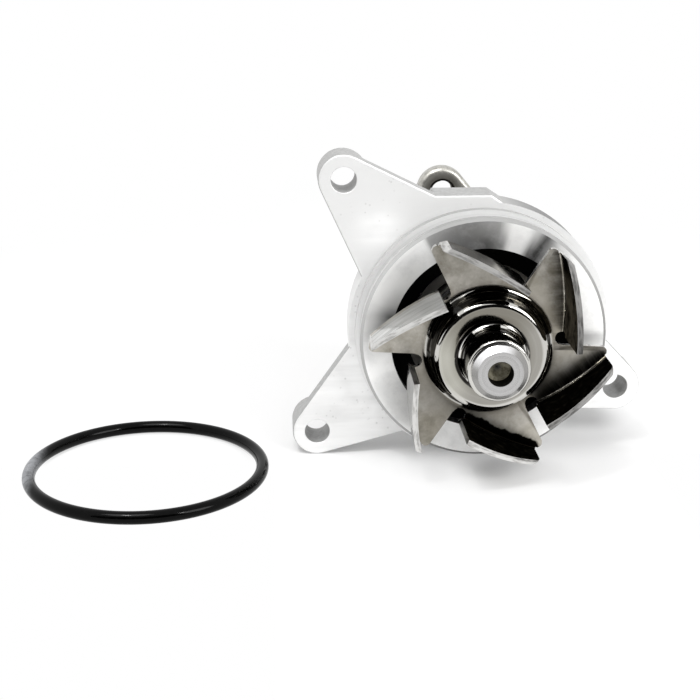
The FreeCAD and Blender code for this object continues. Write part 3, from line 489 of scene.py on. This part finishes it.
# %% Masks of the stamping
stamped = Finish("stamped_steel", Specular_IOR_Level=0.0)
facing_turn = stamped.math("ARCTAN2", stamped.face_z, stamped.face_x)
six_fold = stamped.math("COSINE", (facing_turn - VANE_NORMAL) * VANE_COUNT)
along_shaft = stamped.math("ABSOLUTE", stamped.face_y)
outwards = (stamped.face_x * stamped.x + stamped.face_z * stamped.z) / stamped.radius
outside_cup = stamped.radius.above(*OUTSIDE_CUP)
on_vane = stamped.y.below(*VANE_START) * outside_cup
on_blade = stamped.y.above(*BLADE_FACE) * outside_cup
top_cut = on_vane * along_shaft.above(0.2, 0.3)
end_cut = on_vane * six_fold.below(0.0, 0.4)
rim_cut = stamped.radius.above(*RIM_CUT)
blade_cut = on_blade * along_shaft.below(0.3, 0.6) * six_fold.below(0.2, 0.6)
cut = stamped.math("MINIMUM", top_cut + end_cut + rim_cut + blade_cut, 1.0)
drawn = stamped.radius.below(*DRAWN_PART)
vane_inside = (stamped.y.below(*FOLD_END) * outwards.below(-0.15, -0.05)
               * outside_cup * (1 - cut))
# The outer faces of the vanes on the left, which are painted lighter as a reflection.
vane_outside = (on_vane * outwards.above(0.05, 0.15) * (1 - cut)
                * stamped.x.below(*edge(-13, -8)))
cup_wall = (stamped.radius.above(*CUP_WALL) * drawn * along_shaft.below(0.72, 0.90)
            * stamped.y.above(*CUP_FRONT))
collar_wall = stamped.radius.below(*COLLAR_WALL) * stamped.y.above(*COLLAR_FRONT)
print("stamping masks ready")

# %% Places measured from a vane
# The six vanes share one set of measures: along a vane, and through its bowed sheet.
past_normal = stamped.math("WRAP", stamped.turn - VANE_NORMAL,
                           math.radians(54), math.radians(-6))
along = stamped.radius * stamped.math("SINE", past_normal)
bow = 1 - stamped.math("POWER", (along - VANE_MIDDLE) / VANE_HALF_LENGTH, 2.0)
through = stamped.radius * stamped.math("COSINE", past_normal) - bow * VANE_BOW
torn = through.below(*TORN_HALF) * on_vane
print("vane measures ready")

# %% Marks on the stamping
mottle = stamped.noise(170.0, 5.0, 0.66)
cloud = stamped.noise(60.0, 2.0, 0.5)
fleck = stamped.noise(1100.0, 3.0, 0.6)
smudge = stamped.noise(95.0, 5.0, 0.68).above(0.50, 0.72)
rings = stamped.noise(900.0, 2.0, 0.6, stamped.join(stamped.radius, stamped.y, 0.0))
wall_lines = stamped.noise(1500.0, 3.0, 0.65, stamped.join(
    stamped.turn * 0.0016, stamped.y, stamped.radius))
shade_streaks = stamped.noise(420.0, 3.0, 0.6, stamped.join(
    stamped.turn * 0.03, stamped.y * 1.6, stamped.radius))
rolled_lines = stamped.noise(300.0, 4.0, 0.65, stamped.join(
    stamped.turn * 0.004, stamped.y * 2.0, stamped.radius * 0.2))
shear_marks = stamped.noise(1500.0, 3.0, 0.6, stamped.join(
    along * 0.16, stamped.y * 0.16, through))
drag_lines = stamped.noise(420.0, 3.0, 0.6, stamped.join(along, through * 0.12, 0.0))
wavering = stamped.noise(190.0, 3.0, 0.6, stamped.join(along, 0.0, 0.0)) * 3.6 * MM
print("marks of the stamping ready")

# %% Plain sheet
# Near the foot of the cup, and more on the lower blades, the sheet is painted darker, as
# shade.
foot_shade = (stamped.radius.below(*edge(17.2, 19.4)) * 0.35
             + stamped.radius.below(*edge(18, 27))
             * (0.08 + stamped.z.below(*edge(-6, 4)) * 0.45))
sheet_colour = stamped.coat(
    (0.370, 0.348, 0.302),
    (mottle.above(0.32, 0.70), (0.60, 0.575, 0.525)),
    (cloud.above(0.46, 0.70) * 0.7, (0.42, 0.385, 0.31)),
    (smudge * 0.65, (0.165, 0.148, 0.110)))
# The outer faces of the left vanes are painted lighter, as a reflection.
outside_reflection = stamped.mix(rolled_lines.above(0.35, 0.70),
                             (0.70, 0.70, 0.69), (0.42, 0.42, 0.40))
print("sheet ready")

# %% Drawn cup and collar
# The flat of the cup is painted lighter on the left, as light, and darker above and beside
# the collar, as shade. The collar's wall has one painted highlight, a bright arc where it
# starts to curve.
shoulder = stamped.radius.above(*CUP_SHOULDER) + stamped.y.below(*COLLAR_TIP)
cup_face = along_shaft.above(0.90, 0.97) * stamped.radius.above(*CUP_FACE)
cup_lit_side = stamped.towards(188).above(0.50, 1.0)
cup_shade = (stamped.towards(105).above(0.15, 0.95) * 0.65
            + stamped.radius.below(*edge(9.8, 12.2)) * 0.35)
drawn_colour = stamped.coat(
    (0.38, 0.37, 0.34),
    (rings * 0.7 + mottle * 0.3, (0.26, 0.25, 0.225)),
    (shoulder, (0.62, 0.61, 0.58)),
    (cup_face * cup_lit_side * 0.8, (0.50, 0.495, 0.44)),
    (cup_face * cup_shade, (0.155, 0.143, 0.115)),
    (cup_face * cloud.above(0.44, 0.66) * 0.35, (0.20, 0.187, 0.16)))
# The walls of the cup and the collar are painted nearly black, as shade, with faint lighter
# lines.
wall_shade_colour = stamped.mix(wall_lines.above(0.53, 0.68),
                          (0.018, 0.017, 0.015), (0.42, 0.41, 0.38))
collar_highlight = stamped.radius.above(*edge(8.42, 8.6)) * stamped.radius.below(*edge(8.9, 9.2))
print("drawn middle ready")

# %% Cut edges
# The cut edges on the right are painted duller and darker, as shade, and the dark torn half
# shows more towards the right, also as painted shade.
right_edge_shade = stamped.x.above(*edge(9, 19))
torn_share_and_shade = 0.25 + stamped.x.above(*edge(-6, 14)) * 0.6
torn_colour = stamped.mix(shear_marks.above(0.42, 0.62),
                          (0.05, 0.047, 0.043), (0.46, 0.45, 0.43))
edge_shade_colour = stamped.mix(shear_marks.above(0.34, 0.60),
                          (0.06, 0.059, 0.056), (0.22, 0.216, 0.21))
cut_colour = stamped.coat(
    (0.44, 0.43, 0.415),
    (shear_marks.above(0.30, 0.56), (0.76, 0.755, 0.74)),
    (torn * torn_share_and_shade, torn_colour),
    (right_edge_shade * on_vane * 0.92, edge_shade_colour))
print("cut edges ready")

# %% Painted shade inside the vanes and in their folds
# The insides of the vanes are painted nearly black, as shade, with faint streaks and a
# brownish mottle towards the right.
browned = stamped.towards(25).above(0.90, 0.97)
vane_shade_colour = stamped.coat(
    (0.0008, 0.0007, 0.0005),
    (shade_streaks.above(0.48, 0.74), (0.008, 0.007, 0.005)),
    (browned * mottle.above(0.30, 0.62), (0.060, 0.052, 0.038)))
# Beside the folds the blades are painted darker, as shade in the crease: brown streaks on the
# right half, near black on the right blade and along the bottom blade's fold.
crease_shade = (through.above(*edge(-7, -1, VANE_OFFSET)) * on_blade
                * drag_lines.above(0.40, 0.62) * stamped.x.above(*edge(0, 10)))
on_right_blade = (stamped.x.above(*edge(12, 17)) * stamped.z.above(*edge(-22, -17))
                  * stamped.z.below(*edge(-3, 4)))
fold_shade = (through.above(*edge(-6.5, -2.2, VANE_OFFSET)) * on_blade * on_right_blade
              * (0.70 + drag_lines.above(0.35, 0.60) * 0.28))
on_bottom_blade = (stamped.turn.above(math.radians(-116.2), math.radians(-114.8))
                   * stamped.turn.below(math.radians(-62.8), math.radians(-62.0)))
bottom_fold_shade = ((through + wavering).above(*edge(-2.5, -1.9, VANE_OFFSET))
              * on_bottom_blade * outside_cup * stamped.y.above(*FOLD_START))
# The lower left blades are painted dimmer, as shade.
lower_left_shade = stamped.z.below(*edge(-14, -5)) * stamped.x.below(*edge(-4, 3))
print("oil and stains ready")

# %% Put the impeller's finish together
impeller_colour = stamped.coat(
    sheet_colour,
    (vane_outside, outside_reflection),
    (foot_shade, (0.09, 0.082, 0.066)),
    (crease_shade * 0.8, (0.055, 0.046, 0.030)),
    (fold_shade, (0.004, 0.0035, 0.002)),
    (lower_left_shade * outside_cup * 0.38, (0.10, 0.097, 0.086)),
    (bottom_fold_shade, (0.0015, 0.0012, 0.0008)),
    (drawn, drawn_colour),
    (cup_wall + collar_wall, wall_shade_colour),
    (collar_highlight * collar_wall, (0.80, 0.79, 0.76)),
    (vane_inside, vane_shade_colour),
    (cut, cut_colour))
flat_blade = along_shaft.above(0.8, 0.95) * outside_cup
impeller_roughness = (0.07 + mottle * 0.06 + flat_blade * 0.20 - drawn * 0.02
                      + cut * 0.22 + vane_inside * 0.25)
impeller_relief = fleck * (0.10 + cut * 0.10) + mottle * 0.5 * (1 - drawn * 0.9)
wear("impeller", stamped.set(
    Base_Color=impeller_colour, Metallic=1 - vane_inside, Roughness=impeller_roughness,
    Normal=stamped.bump(impeller_relief, 0.05 * MM)))
print("impeller finished")

# %% [markdown]
# ## The shaft
#
# The shaft is ground bearing steel. Its front end is faced and chamfered, and the chamfer
# is painted dark, as shade, with a painted highlight at its upper left. The wall of the
# centre pocket is painted black, as shade, and its bottom has gone a dull straw colour with
# heat, with a dark dot from the drill's tip.

# %% Ground steel
POCKET_WALL = edge(3.33, 3.40)
POCKET_MOUTH = edge(-33.0, -32.0)
POCKET_FLOOR = edge(-34.2, -33.9)
DRILL_TIP = edge(0.35, 0.8)
CHAMFER_FOOT = edge(5.85, 5.95)
BEHIND_SEAL = edge(0, 10)
ground = Finish("ground_steel", Specular_IOR_Level=0.05)
grind = ground.noise(3000.0, 2.0, 0.6, ground.join(ground.radius, ground.y, 0.0))
# The pocket's wall is painted nearly black, as shade.
in_pocket = ground.radius.below(*POCKET_WALL) * ground.y.below(*POCKET_MOUTH)
pocket_floor = in_pocket * ground.y.above(*POCKET_FLOOR)
end_chamfer = (ground.radius.above(*CHAMFER_FOOT) * ground.face_y.below(-0.4, -0.3)
               * ground.face_y.above(-0.97, -0.93))
# The chamfer is painted dark, as shade, with a painted highlight at its upper left.
chamfer_highlight_side = ground.towards(112).above(0.45, 0.95)
chamfer_painted_light = ground.mix(chamfer_highlight_side, (0.34, 0.335, 0.325), (0.97, 0.97, 0.98))
straw = ground.noise(900.0, 4.0, 0.6)
straw_colour = ground.coat(
    (0.40, 0.375, 0.28),
    (straw.above(0.35, 0.65), (0.16, 0.145, 0.10)),
    (ground.radius.below(*DRILL_TIP) * 0.7, (0.06, 0.055, 0.04)))
shaft_colour = ground.coat(
    (0.56, 0.555, 0.555),
    (grind, (0.42, 0.415, 0.41)),
    (ground.y.above(*BEHIND_SEAL) * 0.5, (0.42, 0.41, 0.39)),
    (end_chamfer, chamfer_painted_light),
    (in_pocket, (0.004, 0.004, 0.003)),
    (pocket_floor, straw_colour))
wear("shaft", ground.set(
    Base_Color=shaft_colour, Metallic=1 - in_pocket,
    Roughness=0.20 + grind * 0.12 + in_pocket * 0.3,
    Normal=ground.bump(grind, 0.01 * MM)))
print("shaft finished")

# %% [markdown]
# ## The pulley hub
#
# The hub is a pressed steel forging with a dark oiled skin. Its edges and the wide
# chamfers of its holes are rubbed a little lighter.

# %% Oiled dark steel
HOLE_WALL = edge(3.9, 4.3)
HOLE_CHAMFER = edge(4.4, 6.2)
WORN_EDGES = edge(4.4, 5.0)
ROUND_HOLE = edge(6.2, 9.0)
PILOT = edge(14.9, 15.2)
oiled = Finish("hub_steel", Metallic=1.0)
skin = oiled.noise(160.0, 5.0, 0.62)
spots = oiled.noise(700.0, 3.0, 0.6)
worn = oiled.math("ABSOLUTE", oiled.face_y).below(0.90, 0.985)
past_hole = oiled.math("WRAP", oiled.turn - HUB_TURN, math.radians(60), math.radians(-60))
from_hole = oiled.distance(
    oiled.radius * oiled.math("COSINE", past_hole) - HOLE_CIRCLE,
    oiled.radius * oiled.math("SINE", past_hole))
rubbed_ring = from_hole.above(*HOLE_CHAMFER) * from_hole.below(*ROUND_HOLE) * 0.5
rubbed_edge = worn * from_hole.above(*WORN_EDGES) * (0.4 + spots.above(0.3, 0.6) * 0.6)
# The walls of the holes are painted nearly black, as shade.
hub_colour = oiled.coat(
    (0.115, 0.110, 0.098),
    (skin.above(0.3, 0.7), (0.165, 0.158, 0.142)),
    (rubbed_ring, (0.44, 0.43, 0.40)),
    (from_hole.below(*HOLE_WALL), (0.020, 0.018, 0.015)),
    (rubbed_edge, (0.56, 0.55, 0.51)),
    (oiled.radius.below(*PILOT), (0.36, 0.345, 0.33)))
wear("pulley_hub", oiled.set(
    Base_Color=hub_colour, Roughness=0.38 + spots * 0.2 - worn * 0.08,
    Normal=oiled.bump(skin * 0.7 + spots * 0.4, 0.08 * MM)))
print("hub finished")

# %% [markdown]
# ## Rubber
#
# The loose ring is glossy black rubber with a lighter grey, rougher patch at its left end.
# The moulded seals inside are matte. Both have a very fine moulded texture.

# %% Glossy rubber
GREY_PATCH_END = edge(0.8, 5.4)
glossy = Finish("ring_rubber", Metallic=0.0, IOR=1.5, Specular_IOR_Level=0.10)
speckle = glossy.noise(1500.0, 3.0, 0.6)
smear = glossy.noise(420.0, 5.0, 0.7).above(0.30, 0.60)
from_end = glossy.x - ring_low.x
grey_end_patch = from_end.below(*GREY_PATCH_END) * (0.45 + smear * 0.55)
ring_colour = glossy.coat(
    (0.0006, 0.0006, 0.0006),
    (speckle.above(0.4, 0.8), (0.002, 0.002, 0.002)),
    (grey_end_patch * 0.8, (0.40, 0.41, 0.43)))
wear("o_ring", glossy.set(
    Base_Color=ring_colour, Roughness=0.08 + speckle * 0.05 + grey_end_patch * 0.35,
    Normal=glossy.bump(speckle, 0.01 * MM)))
print("ring finished")

# %% Matte rubber
matte = Finish("seal_rubber", Metallic=0.0, IOR=1.5)
dull_speckle = matte.noise(1800.0, 3.0, 0.6)
seal_colour = matte.mix(dull_speckle.above(0.3, 0.8),
                        (0.010, 0.010, 0.011), (0.024, 0.024, 0.024))
matte_rubber = matte.set(Base_Color=seal_colour, Roughness=0.55 + dull_speckle * 0.15,
                         Normal=matte.bump(dull_speckle, 0.02 * MM))
for name in ("front_bearing_seal", "back_bearing_seal", "seal_bellows", "ceramic_boot"):
    wear(name, matte_rubber)
print("rubber finished")

# %% [markdown]
# ## The parts inside
#
# The bearing and the shaft seal are hidden in use, but someone who takes the pump apart
# sees them. Bearing steel is nearly a mirror with faint grinding lines, the seal's sheet
# parts are drawn stainless steel, the fixed sealing face is grey-black graphite and the
# turning one is ivory ceramic. The cages are brown glass-filled nylon.

# %% Bearing steel, sheet steel and wire
def brushed(name, light, dark, scale, base_roughness):
    """Steel with fine lines that run round the shaft."""
    steel = Finish(name, Metallic=1.0)
    lines = steel.noise(scale, 2.0, 0.65, steel.join(steel.radius, steel.y, 0.0))
    patches = steel.noise(180.0, 3.0, 0.5)
    steel_colour = steel.mix(lines * 0.7 + patches * 0.3, light, dark)
    return steel.set(Base_Color=steel_colour, Roughness=base_roughness + patches * 0.12,
                     Normal=steel.bump(lines, 0.008 * MM))


bearing_steel = brushed("bearing_steel", (0.78, 0.78, 0.78), (0.60, 0.60, 0.61), 2600.0, 0.12)
sheet_steel = brushed("stainless_sheet", (0.50, 0.49, 0.47), (0.34, 0.335, 0.32), 1400.0, 0.24)
spring_steel = brushed("spring_steel", (0.62, 0.62, 0.61), (0.44, 0.44, 0.44), 1800.0, 0.2)
for name in ("bearing_outer_ring", "bearing_balls", "bearing_rollers"):
    wear(name, bearing_steel)
for name in ("seal_case", "front_ferrule", "back_ferrule", "seal_sleeve", "slinger"):
    wear(name, sheet_steel)
print("steel inside finished")


# %% Graphite, ceramic and nylon
def mottled(finish, marks, light, dark, roughness, variation, depth):
    """A colour, a roughness and a relief that all follow the same marks."""
    return finish.set(Base_Color=finish.mix(marks, light, dark),
                      Roughness=roughness + marks * variation,
                      Normal=finish.bump(marks, depth))


graphite = Finish("carbon_graphite", Metallic=0.0)
wear("carbon_ring", mottled(graphite, graphite.noise(1200.0, 4.0, 0.6),
                            (0.022, 0.022, 0.024), (0.055, 0.055, 0.06),
                            0.36, 0.2, 0.006 * MM))
ivory = Finish("ceramic", Metallic=0.0)
wear("ceramic_ring", mottled(ivory, ivory.noise(400.0, 3.0, 0.5),
                             (0.84, 0.81, 0.74), (0.74, 0.71, 0.64),
                             0.22, 0.15, 0.004 * MM))
nylon = Finish("cage_plastic", Metallic=0.0)
fibre = nylon.noise(500.0, 4.0, 0.65, nylon.join(nylon.x, nylon.y * 4.0, nylon.z))
cage_nylon = mottled(nylon, fibre, (0.16, 0.13, 0.095), (0.26, 0.215, 0.16),
                     0.42, 0.2, 0.02 * MM)
for name in ("ball_cage", "roller_cage"):
    wear(name, cage_nylon)
print("materials:", len(bpy.data.materials))

# %% [markdown]
# ## Geometry Nodes in a few lines
#
# The small repeated things are made by Geometry Nodes. `Recipe` is to a node group what
# `Finish` is to a material: named inputs for the sizes, one method that makes every node,
# and short methods for the steps that come back. Each recipe ends in Realize Instances
# and Set Material, and `bake` turns its result into a plain mesh that rides on a body.

# %% Recipes
class Recipe:
    """A Geometry Nodes group with named inputs."""

    def __init__(self, name, sizes):
        self.tree = bpy.data.node_groups.new(name, "GeometryNodeTree")
        self.sizes = sizes
        for side in ("INPUT", "OUTPUT"):
            self.tree.interface.new_socket("Geometry", in_out=side,
                                           socket_type="NodeSocketGeometry")
        for label, value in sizes.items():
            kind = "NodeSocketInt" if isinstance(value, int) else "NodeSocketFloat"
            self.tree.interface.new_socket(label, in_out="INPUT", socket_type=kind)
        self.inputs = self.node("NodeGroupInput").outputs

    def node(self, kind, settings=None, inputs=None):
        made = self.tree.nodes.new(kind)
        for name, value in (settings or {}).items():
            setattr(made, name, value)
        for name, value in (inputs or {}).items():
            if isinstance(value, bpy.types.NodeSocket):
                self.tree.links.new(value, made.inputs[name])
            else:
                made.inputs[name].default_value = value
        return made

    def multiply(self, first, second):
        return self.node("ShaderNodeMath", {"operation": "MULTIPLY"},
                         {0: first, 1: second}).outputs[0]

    def circle(self, points, radius):
        return self.node("GeometryNodeCurvePrimitiveCircle", inputs={
            "Resolution": points, "Radius": radius}).outputs[0]

    def wound_wire(self, turns, radius, height, wire, steps, sides):
        """A round wire swept along a spiral that climbs in Z."""
        helix = self.node("GeometryNodeCurveSpiral", inputs={
            "Resolution": steps, "Rotations": turns, "Start Radius": radius,
            "End Radius": radius, "Height": height}).outputs[0]
        return self.node("GeometryNodeCurveToMesh", inputs={
            "Curve": helix, "Profile Curve": self.circle(sides, wire),
            "Fill Caps": True}).outputs[0]

    def move(self, geometry, place=(0.0, 0.0, 0.0), rotation=(0.0, 0.0, 0.0)):
        return self.node("GeometryNodeTransform", inputs={
            "Geometry": geometry, "Translation": place, "Rotation": rotation}).outputs[0]

    def join(self, *parts):
        joined = self.node("GeometryNodeJoinGeometry")
        for part in parts:
            self.tree.links.new(part, joined.inputs[0])
        return joined.outputs[0]

    def place_on(self, points, instance):
        return self.node("GeometryNodeInstanceOnPoints", inputs={
            "Points": points, "Instance": instance}).outputs[0]

    def bake(self, name, geometry, material, body):
        """Close the group, run it on an empty mesh and keep the plain result."""
        solid = self.node("GeometryNodeRealizeInstances", inputs={0: geometry}).outputs[0]
        dressed = self.node("GeometryNodeSetMaterial", inputs={
            "Geometry": solid, "Material": material}).outputs[0]
        self.tree.links.new(dressed, self.node("NodeGroupOutput").inputs[0])
        holder = bpy.data.objects.new(name, bpy.data.meshes.new(name))
        bpy.context.scene.collection.objects.link(holder)
        modifier = holder.modifiers.new("recipe", "NODES")
        modifier.node_group = self.tree
        for item in self.tree.interface.items_tree:
            if item.in_out == "INPUT" and item.name in self.sizes:
                modifier[item.identifier] = self.sizes[item.name]
        seen = holder.evaluated_get(bpy.context.evaluated_depsgraph_get())
        holder.data = bpy.data.meshes.new_from_object(seen)
        holder.modifiers.clear()
        holder.data.name = name
        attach(holder, body)
        print(name, "faces:", len(holder.data.polygons))
        return holder


TO_SHAFT = (math.radians(-90), 0.0, 0.0)
print("recipes turn by", math.degrees(TO_SHAFT[0]), "degrees to lie along the shaft")

# %% [markdown]
# ## The seal spring
#
# A spring is a circle swept along a helix. The Spiral node makes the helix, Curve to
# Mesh sweeps the wire, and the whole coil stands in for the plain CAD coil.

# %% Wind the spring
WIRE_RADIUS = 0.75 * MM
coil = Recipe("wound_spring", {
    "Turns": 3.0,
    "Radius": coil_high.x - WIRE_RADIUS,
    "Height": coil_high.y - coil_low.y - 2 * WIRE_RADIUS,
    "Wire": WIRE_RADIUS,
})
wound = coil.wound_wire(coil.inputs["Turns"], coil.inputs["Radius"], coil.inputs["Height"],
                        coil.inputs["Wire"], steps=64, sides=14)
seated_coil = coil.move(wound, (0.0, coil_low.y + WIRE_RADIUS, 0.0), TO_SHAFT)
spring = coil.bake("wound_seal_spring", seated_coil, spring_steel, "pump_body")
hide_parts("seal_spring")

# %% [markdown]
# ## Grip ribs on the rubber boot
#
# The boot that holds the ceramic ring has moulded ribs around it. They show as a fine
# hatching in the dark gap behind the impeller. One small bar with a rounded tip is placed
# on every point of a circle, and the circle is turned to lie round the shaft.

# %% Mould the ribs
ribs = Recipe("boot_ribs", {
    "Count": 48, "Radius": boot_high.x, "Length": 3.0 * MM, "Thickness": 0.35 * MM,
})
bar = ribs.node("GeometryNodeMeshCylinder", {"fill_type": "NGON"}, {
    "Vertices": 8, "Radius": ribs.inputs["Thickness"],
    "Depth": ribs.inputs["Length"]}).outputs[0]
ball = ribs.node("GeometryNodeMeshIcoSphere", inputs={
    "Radius": ribs.inputs["Thickness"], "Subdivisions": 1}).outputs[0]
bar_end = ribs.node("ShaderNodeCombineXYZ", inputs={
    2: ribs.multiply(ribs.inputs["Length"], 0.5)}).outputs[0]
rib = ribs.join(bar, ribs.move(ball, bar_end))
ring_of_ribs = ribs.place_on(ribs.circle(ribs.inputs["Count"], ribs.inputs["Radius"]), rib)
seated_ribs = ribs.move(ring_of_ribs, (0.0, (boot_low.y + boot_high.y) / 2, 0.0), TO_SHAFT)
ribs.bake("boot_grip_ribs", seated_ribs, matte_rubber, "rotor")

# %% [markdown]
# ## Threads in the pulley holes
#
# The three pulley holes are tapped. What one sees of an internal thread is its crest: a
# fine spiral that stands in from the wall of the hole. The same spiral is placed in each
# hole, on the corners of a triangle.

# %% Tap the holes
FIRST_THREAD = 2.3 * MM
thread = Recipe("thread_crests", {
    "Pitch": 1.25 * MM, "Turns": 4.0, "Radius": 3.42 * MM, "Crest": 0.16 * MM,
})
thread_height = thread.multiply(thread.inputs["Pitch"], thread.inputs["Turns"])
crest = thread.wound_wire(thread.inputs["Turns"], thread.inputs["Radius"], thread_height,
                          thread.inputs["Crest"], steps=36, sides=6)
corners = thread.circle(3, HOLE_CIRCLE)
crests = thread.move(thread.place_on(corners, crest), rotation=(0.0, 0.0, -HUB_TURN))
tapped = thread.move(crests, (0.0, hub_low.y + FIRST_THREAD, 0.0), TO_SHAFT)
thread_steel = brushed("thread_steel", (0.40, 0.385, 0.36), (0.20, 0.18, 0.16), 1500.0, 0.3)
thread.bake("pulley_threads", tapped, thread_steel, "rotor")

# %% [markdown]
# ## The studio
#
# A pale floor, a white surround, and two soft lamps, each with a small bulb beside it
# that gives the bright glints. Where the pump and its shadow are, the floor is plain
# paper. In front, at the sides and further out it glows into an even white, so that the
# picture has no horizon; in front and at the sides the glow also thins the pump's shadow,
# except under the vanes. Two soft shadows are painted on the paper where the pump comes
# close to the floor, under the impeller and under the right ear.

# %% Floor
def plain_card(name, corners):
    mesh = bpy.data.meshes.new(name)
    mesh.from_pydata(corners, [], [tuple(range(len(corners)))])
    card = bpy.data.objects.new(name, mesh)
    bpy.context.scene.collection.objects.link(card)
    card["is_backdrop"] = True
    return card


FLOOR_REACH = 3.0
floor = plain_card("floor", [
    (-FLOOR_REACH, -FLOOR_REACH, FLOOR), (FLOOR_REACH, -FLOOR_REACH, FLOOR),
    (FLOOR_REACH, FLOOR_REACH, FLOOR), (-FLOOR_REACH, FLOOR_REACH, FLOOR)])
print("floor", 2 * FLOOR_REACH, "m wide")

# %% White paper
paper = Finish("white_paper", Roughness=0.9)


def near_place(x, y, inner, outer):
    """1 at a place on the floor, falling to 0 at the outer radius, in millimetres."""
    return paper.distance(paper.x - x * MM, paper.y - y * MM).below(*edge(inner, outer))


# Two painted shadows on the paper, under the cup and under the right ear.
shadow_under_cup = near_place(3.5, -9, 4, 15)
shadow_under_ear = near_place(38, 27, 4, 16)
paper.set(Base_Color=paper.mix(paper.math("MAXIMUM", shadow_under_cup, shadow_under_ear),
                               (0.90, 0.90, 0.90), (0.52, 0.52, 0.52)))
print("paper ready")

# %% Even white
PAPER_END = 0.16
WHITE_START = 0.5
far_out = paper.distance(paper.x, paper.y).above(PAPER_END, WHITE_START)
# In front and at the sides the white glow is painted light that thins the pump's shadow; under
# the vanes less of it is mixed in, so the shadow stays.
in_front = paper.y.below(*edge(-12, 8))
aside = paper.math("ABSOLUTE", paper.x + 5 * MM).above(*edge(44, 58))
under_vanes = near_place(8, -17, 6, 20)
whiteness = 0.08 + in_front * (0.55 - under_vanes * 0.45) + aside * 0.5 + far_out
whiteness = paper.math("MINIMUM", whiteness, 1.0)
glow = paper.node("ShaderNodeEmission", inputs={"Color": (1.0, 1.0, 1.0), "Strength": 1.0})
blend = paper.node("ShaderNodeMixShader", inputs={
    0: paper.seen_ray() * whiteness, 1: paper.shader.outputs[0], 2: glow.outputs[0]})
paper.tree.links.new(blend.outputs[0], paper.tree.nodes["Material Output"].inputs["Surface"])
floor.data.materials.append(paper.material)
print("floor ready")

# %% [markdown]
# ## The surround
#
# Polished metal is only as lively as the room it mirrors. A table-top studio is white
# behind and above, and dark where the photographer stands. The surround is plain white,
# a little dimmer as a lamp than it looks, and black cloth, which only mirrors can see,
# lies and hangs in front.

# %% Surround
class Room(Finish):
    """The same shader sums for the world."""

    def __init__(self, world):
        self.tree = world.node_tree


LAMP_STRENGTH = 0.72
SEEN_STRENGTH = 1.0
world = bpy.data.worlds.new("surround")
bpy.context.scene.world = world
world.use_nodes = True
room = Room(world)
background = world.node_tree.nodes["Background"]
background.inputs["Color"].default_value = (1.0, 1.0, 1.0, 1.0)
room.feed(background.inputs["Strength"],
          LAMP_STRENGTH + room.seen_ray() * (SEEN_STRENGTH - LAMP_STRENGTH))
print("surround ready")

# %% Black cloth in front
black_cloth = Finish("black_cloth", Roughness=1.0, Specular_IOR_Level=0.0,
                     Base_Color=(0.01, 0.01, 0.01)).material


def hang_cloth(name, corners):
    """A dark card that only mirrors can see."""
    cloth = plain_card(name, corners)
    cloth.data.materials.append(black_cloth)
    cloth.visible_camera = False
    cloth.visible_diffuse = False
    cloth.visible_shadow = False


CLOTH_SIDE = 1.3
CLOTH_FAR = -1.2
CLOTH_NEAR = -0.3
CLOTH_TOP = FLOOR + 0.95
ON_TABLE = FLOOR + MM
hang_cloth("cloth_on_table", [
    (-CLOTH_SIDE, CLOTH_FAR, ON_TABLE), (CLOTH_SIDE, CLOTH_FAR, ON_TABLE),
    (CLOTH_SIDE, CLOTH_NEAR, ON_TABLE), (-CLOTH_SIDE, CLOTH_NEAR, ON_TABLE)])
hang_cloth("cloth_behind_camera", [
    (-CLOTH_SIDE, CLOTH_FAR, FLOOR), (CLOTH_SIDE, CLOTH_FAR, FLOOR),
    (CLOTH_SIDE, CLOTH_FAR, CLOTH_TOP), (-CLOTH_SIDE, CLOTH_FAR, CLOTH_TOP)])
print("black cloth up to", CLOTH_TOP, "m")


# %% Lamps
def soft_lamp(name, place, size, power):
    """A round lamp that points at the pump."""
    data = bpy.data.lights.new(name, "AREA")
    data.shape = "DISK"
    data.size = size
    data.energy = power
    lamp = bpy.data.objects.new(name, data)
    bpy.context.scene.collection.objects.link(lamp)
    lamp.location = place
    lamp.rotation_mode = "QUATERNION"
    lamp.rotation_quaternion = (-Vector(place)).to_track_quat("-Z", "Y")


soft_lamp("key", (-0.28, -0.38, 0.92), size=0.55, power=4.2)
soft_lamp("key_bulb", (-0.30, -0.42, 0.90), size=0.08, power=1.6)
soft_lamp("fill", (0.6, -0.6, 0.35), size=0.5, power=4.0)
soft_lamp("fill_bulb", (0.42, -0.70, 0.50), size=0.07, power=0.9)
bpy.context.scene.view_settings.view_transform = "Standard"
print("lamps ready")

# %% [markdown]
# ## The size of the dressed pump
#
# The dressed pump has to stay inside the box of the CAD model. Its box is measured here,
# and how far it reaches past the CAD box along X is printed.

# %% Measure the box of the dressed pump
visual_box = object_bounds()
print("grown by", max((visual_box[1] - CAD_BOX[1]).x, (CAD_BOX[0] - visual_box[0]).x))
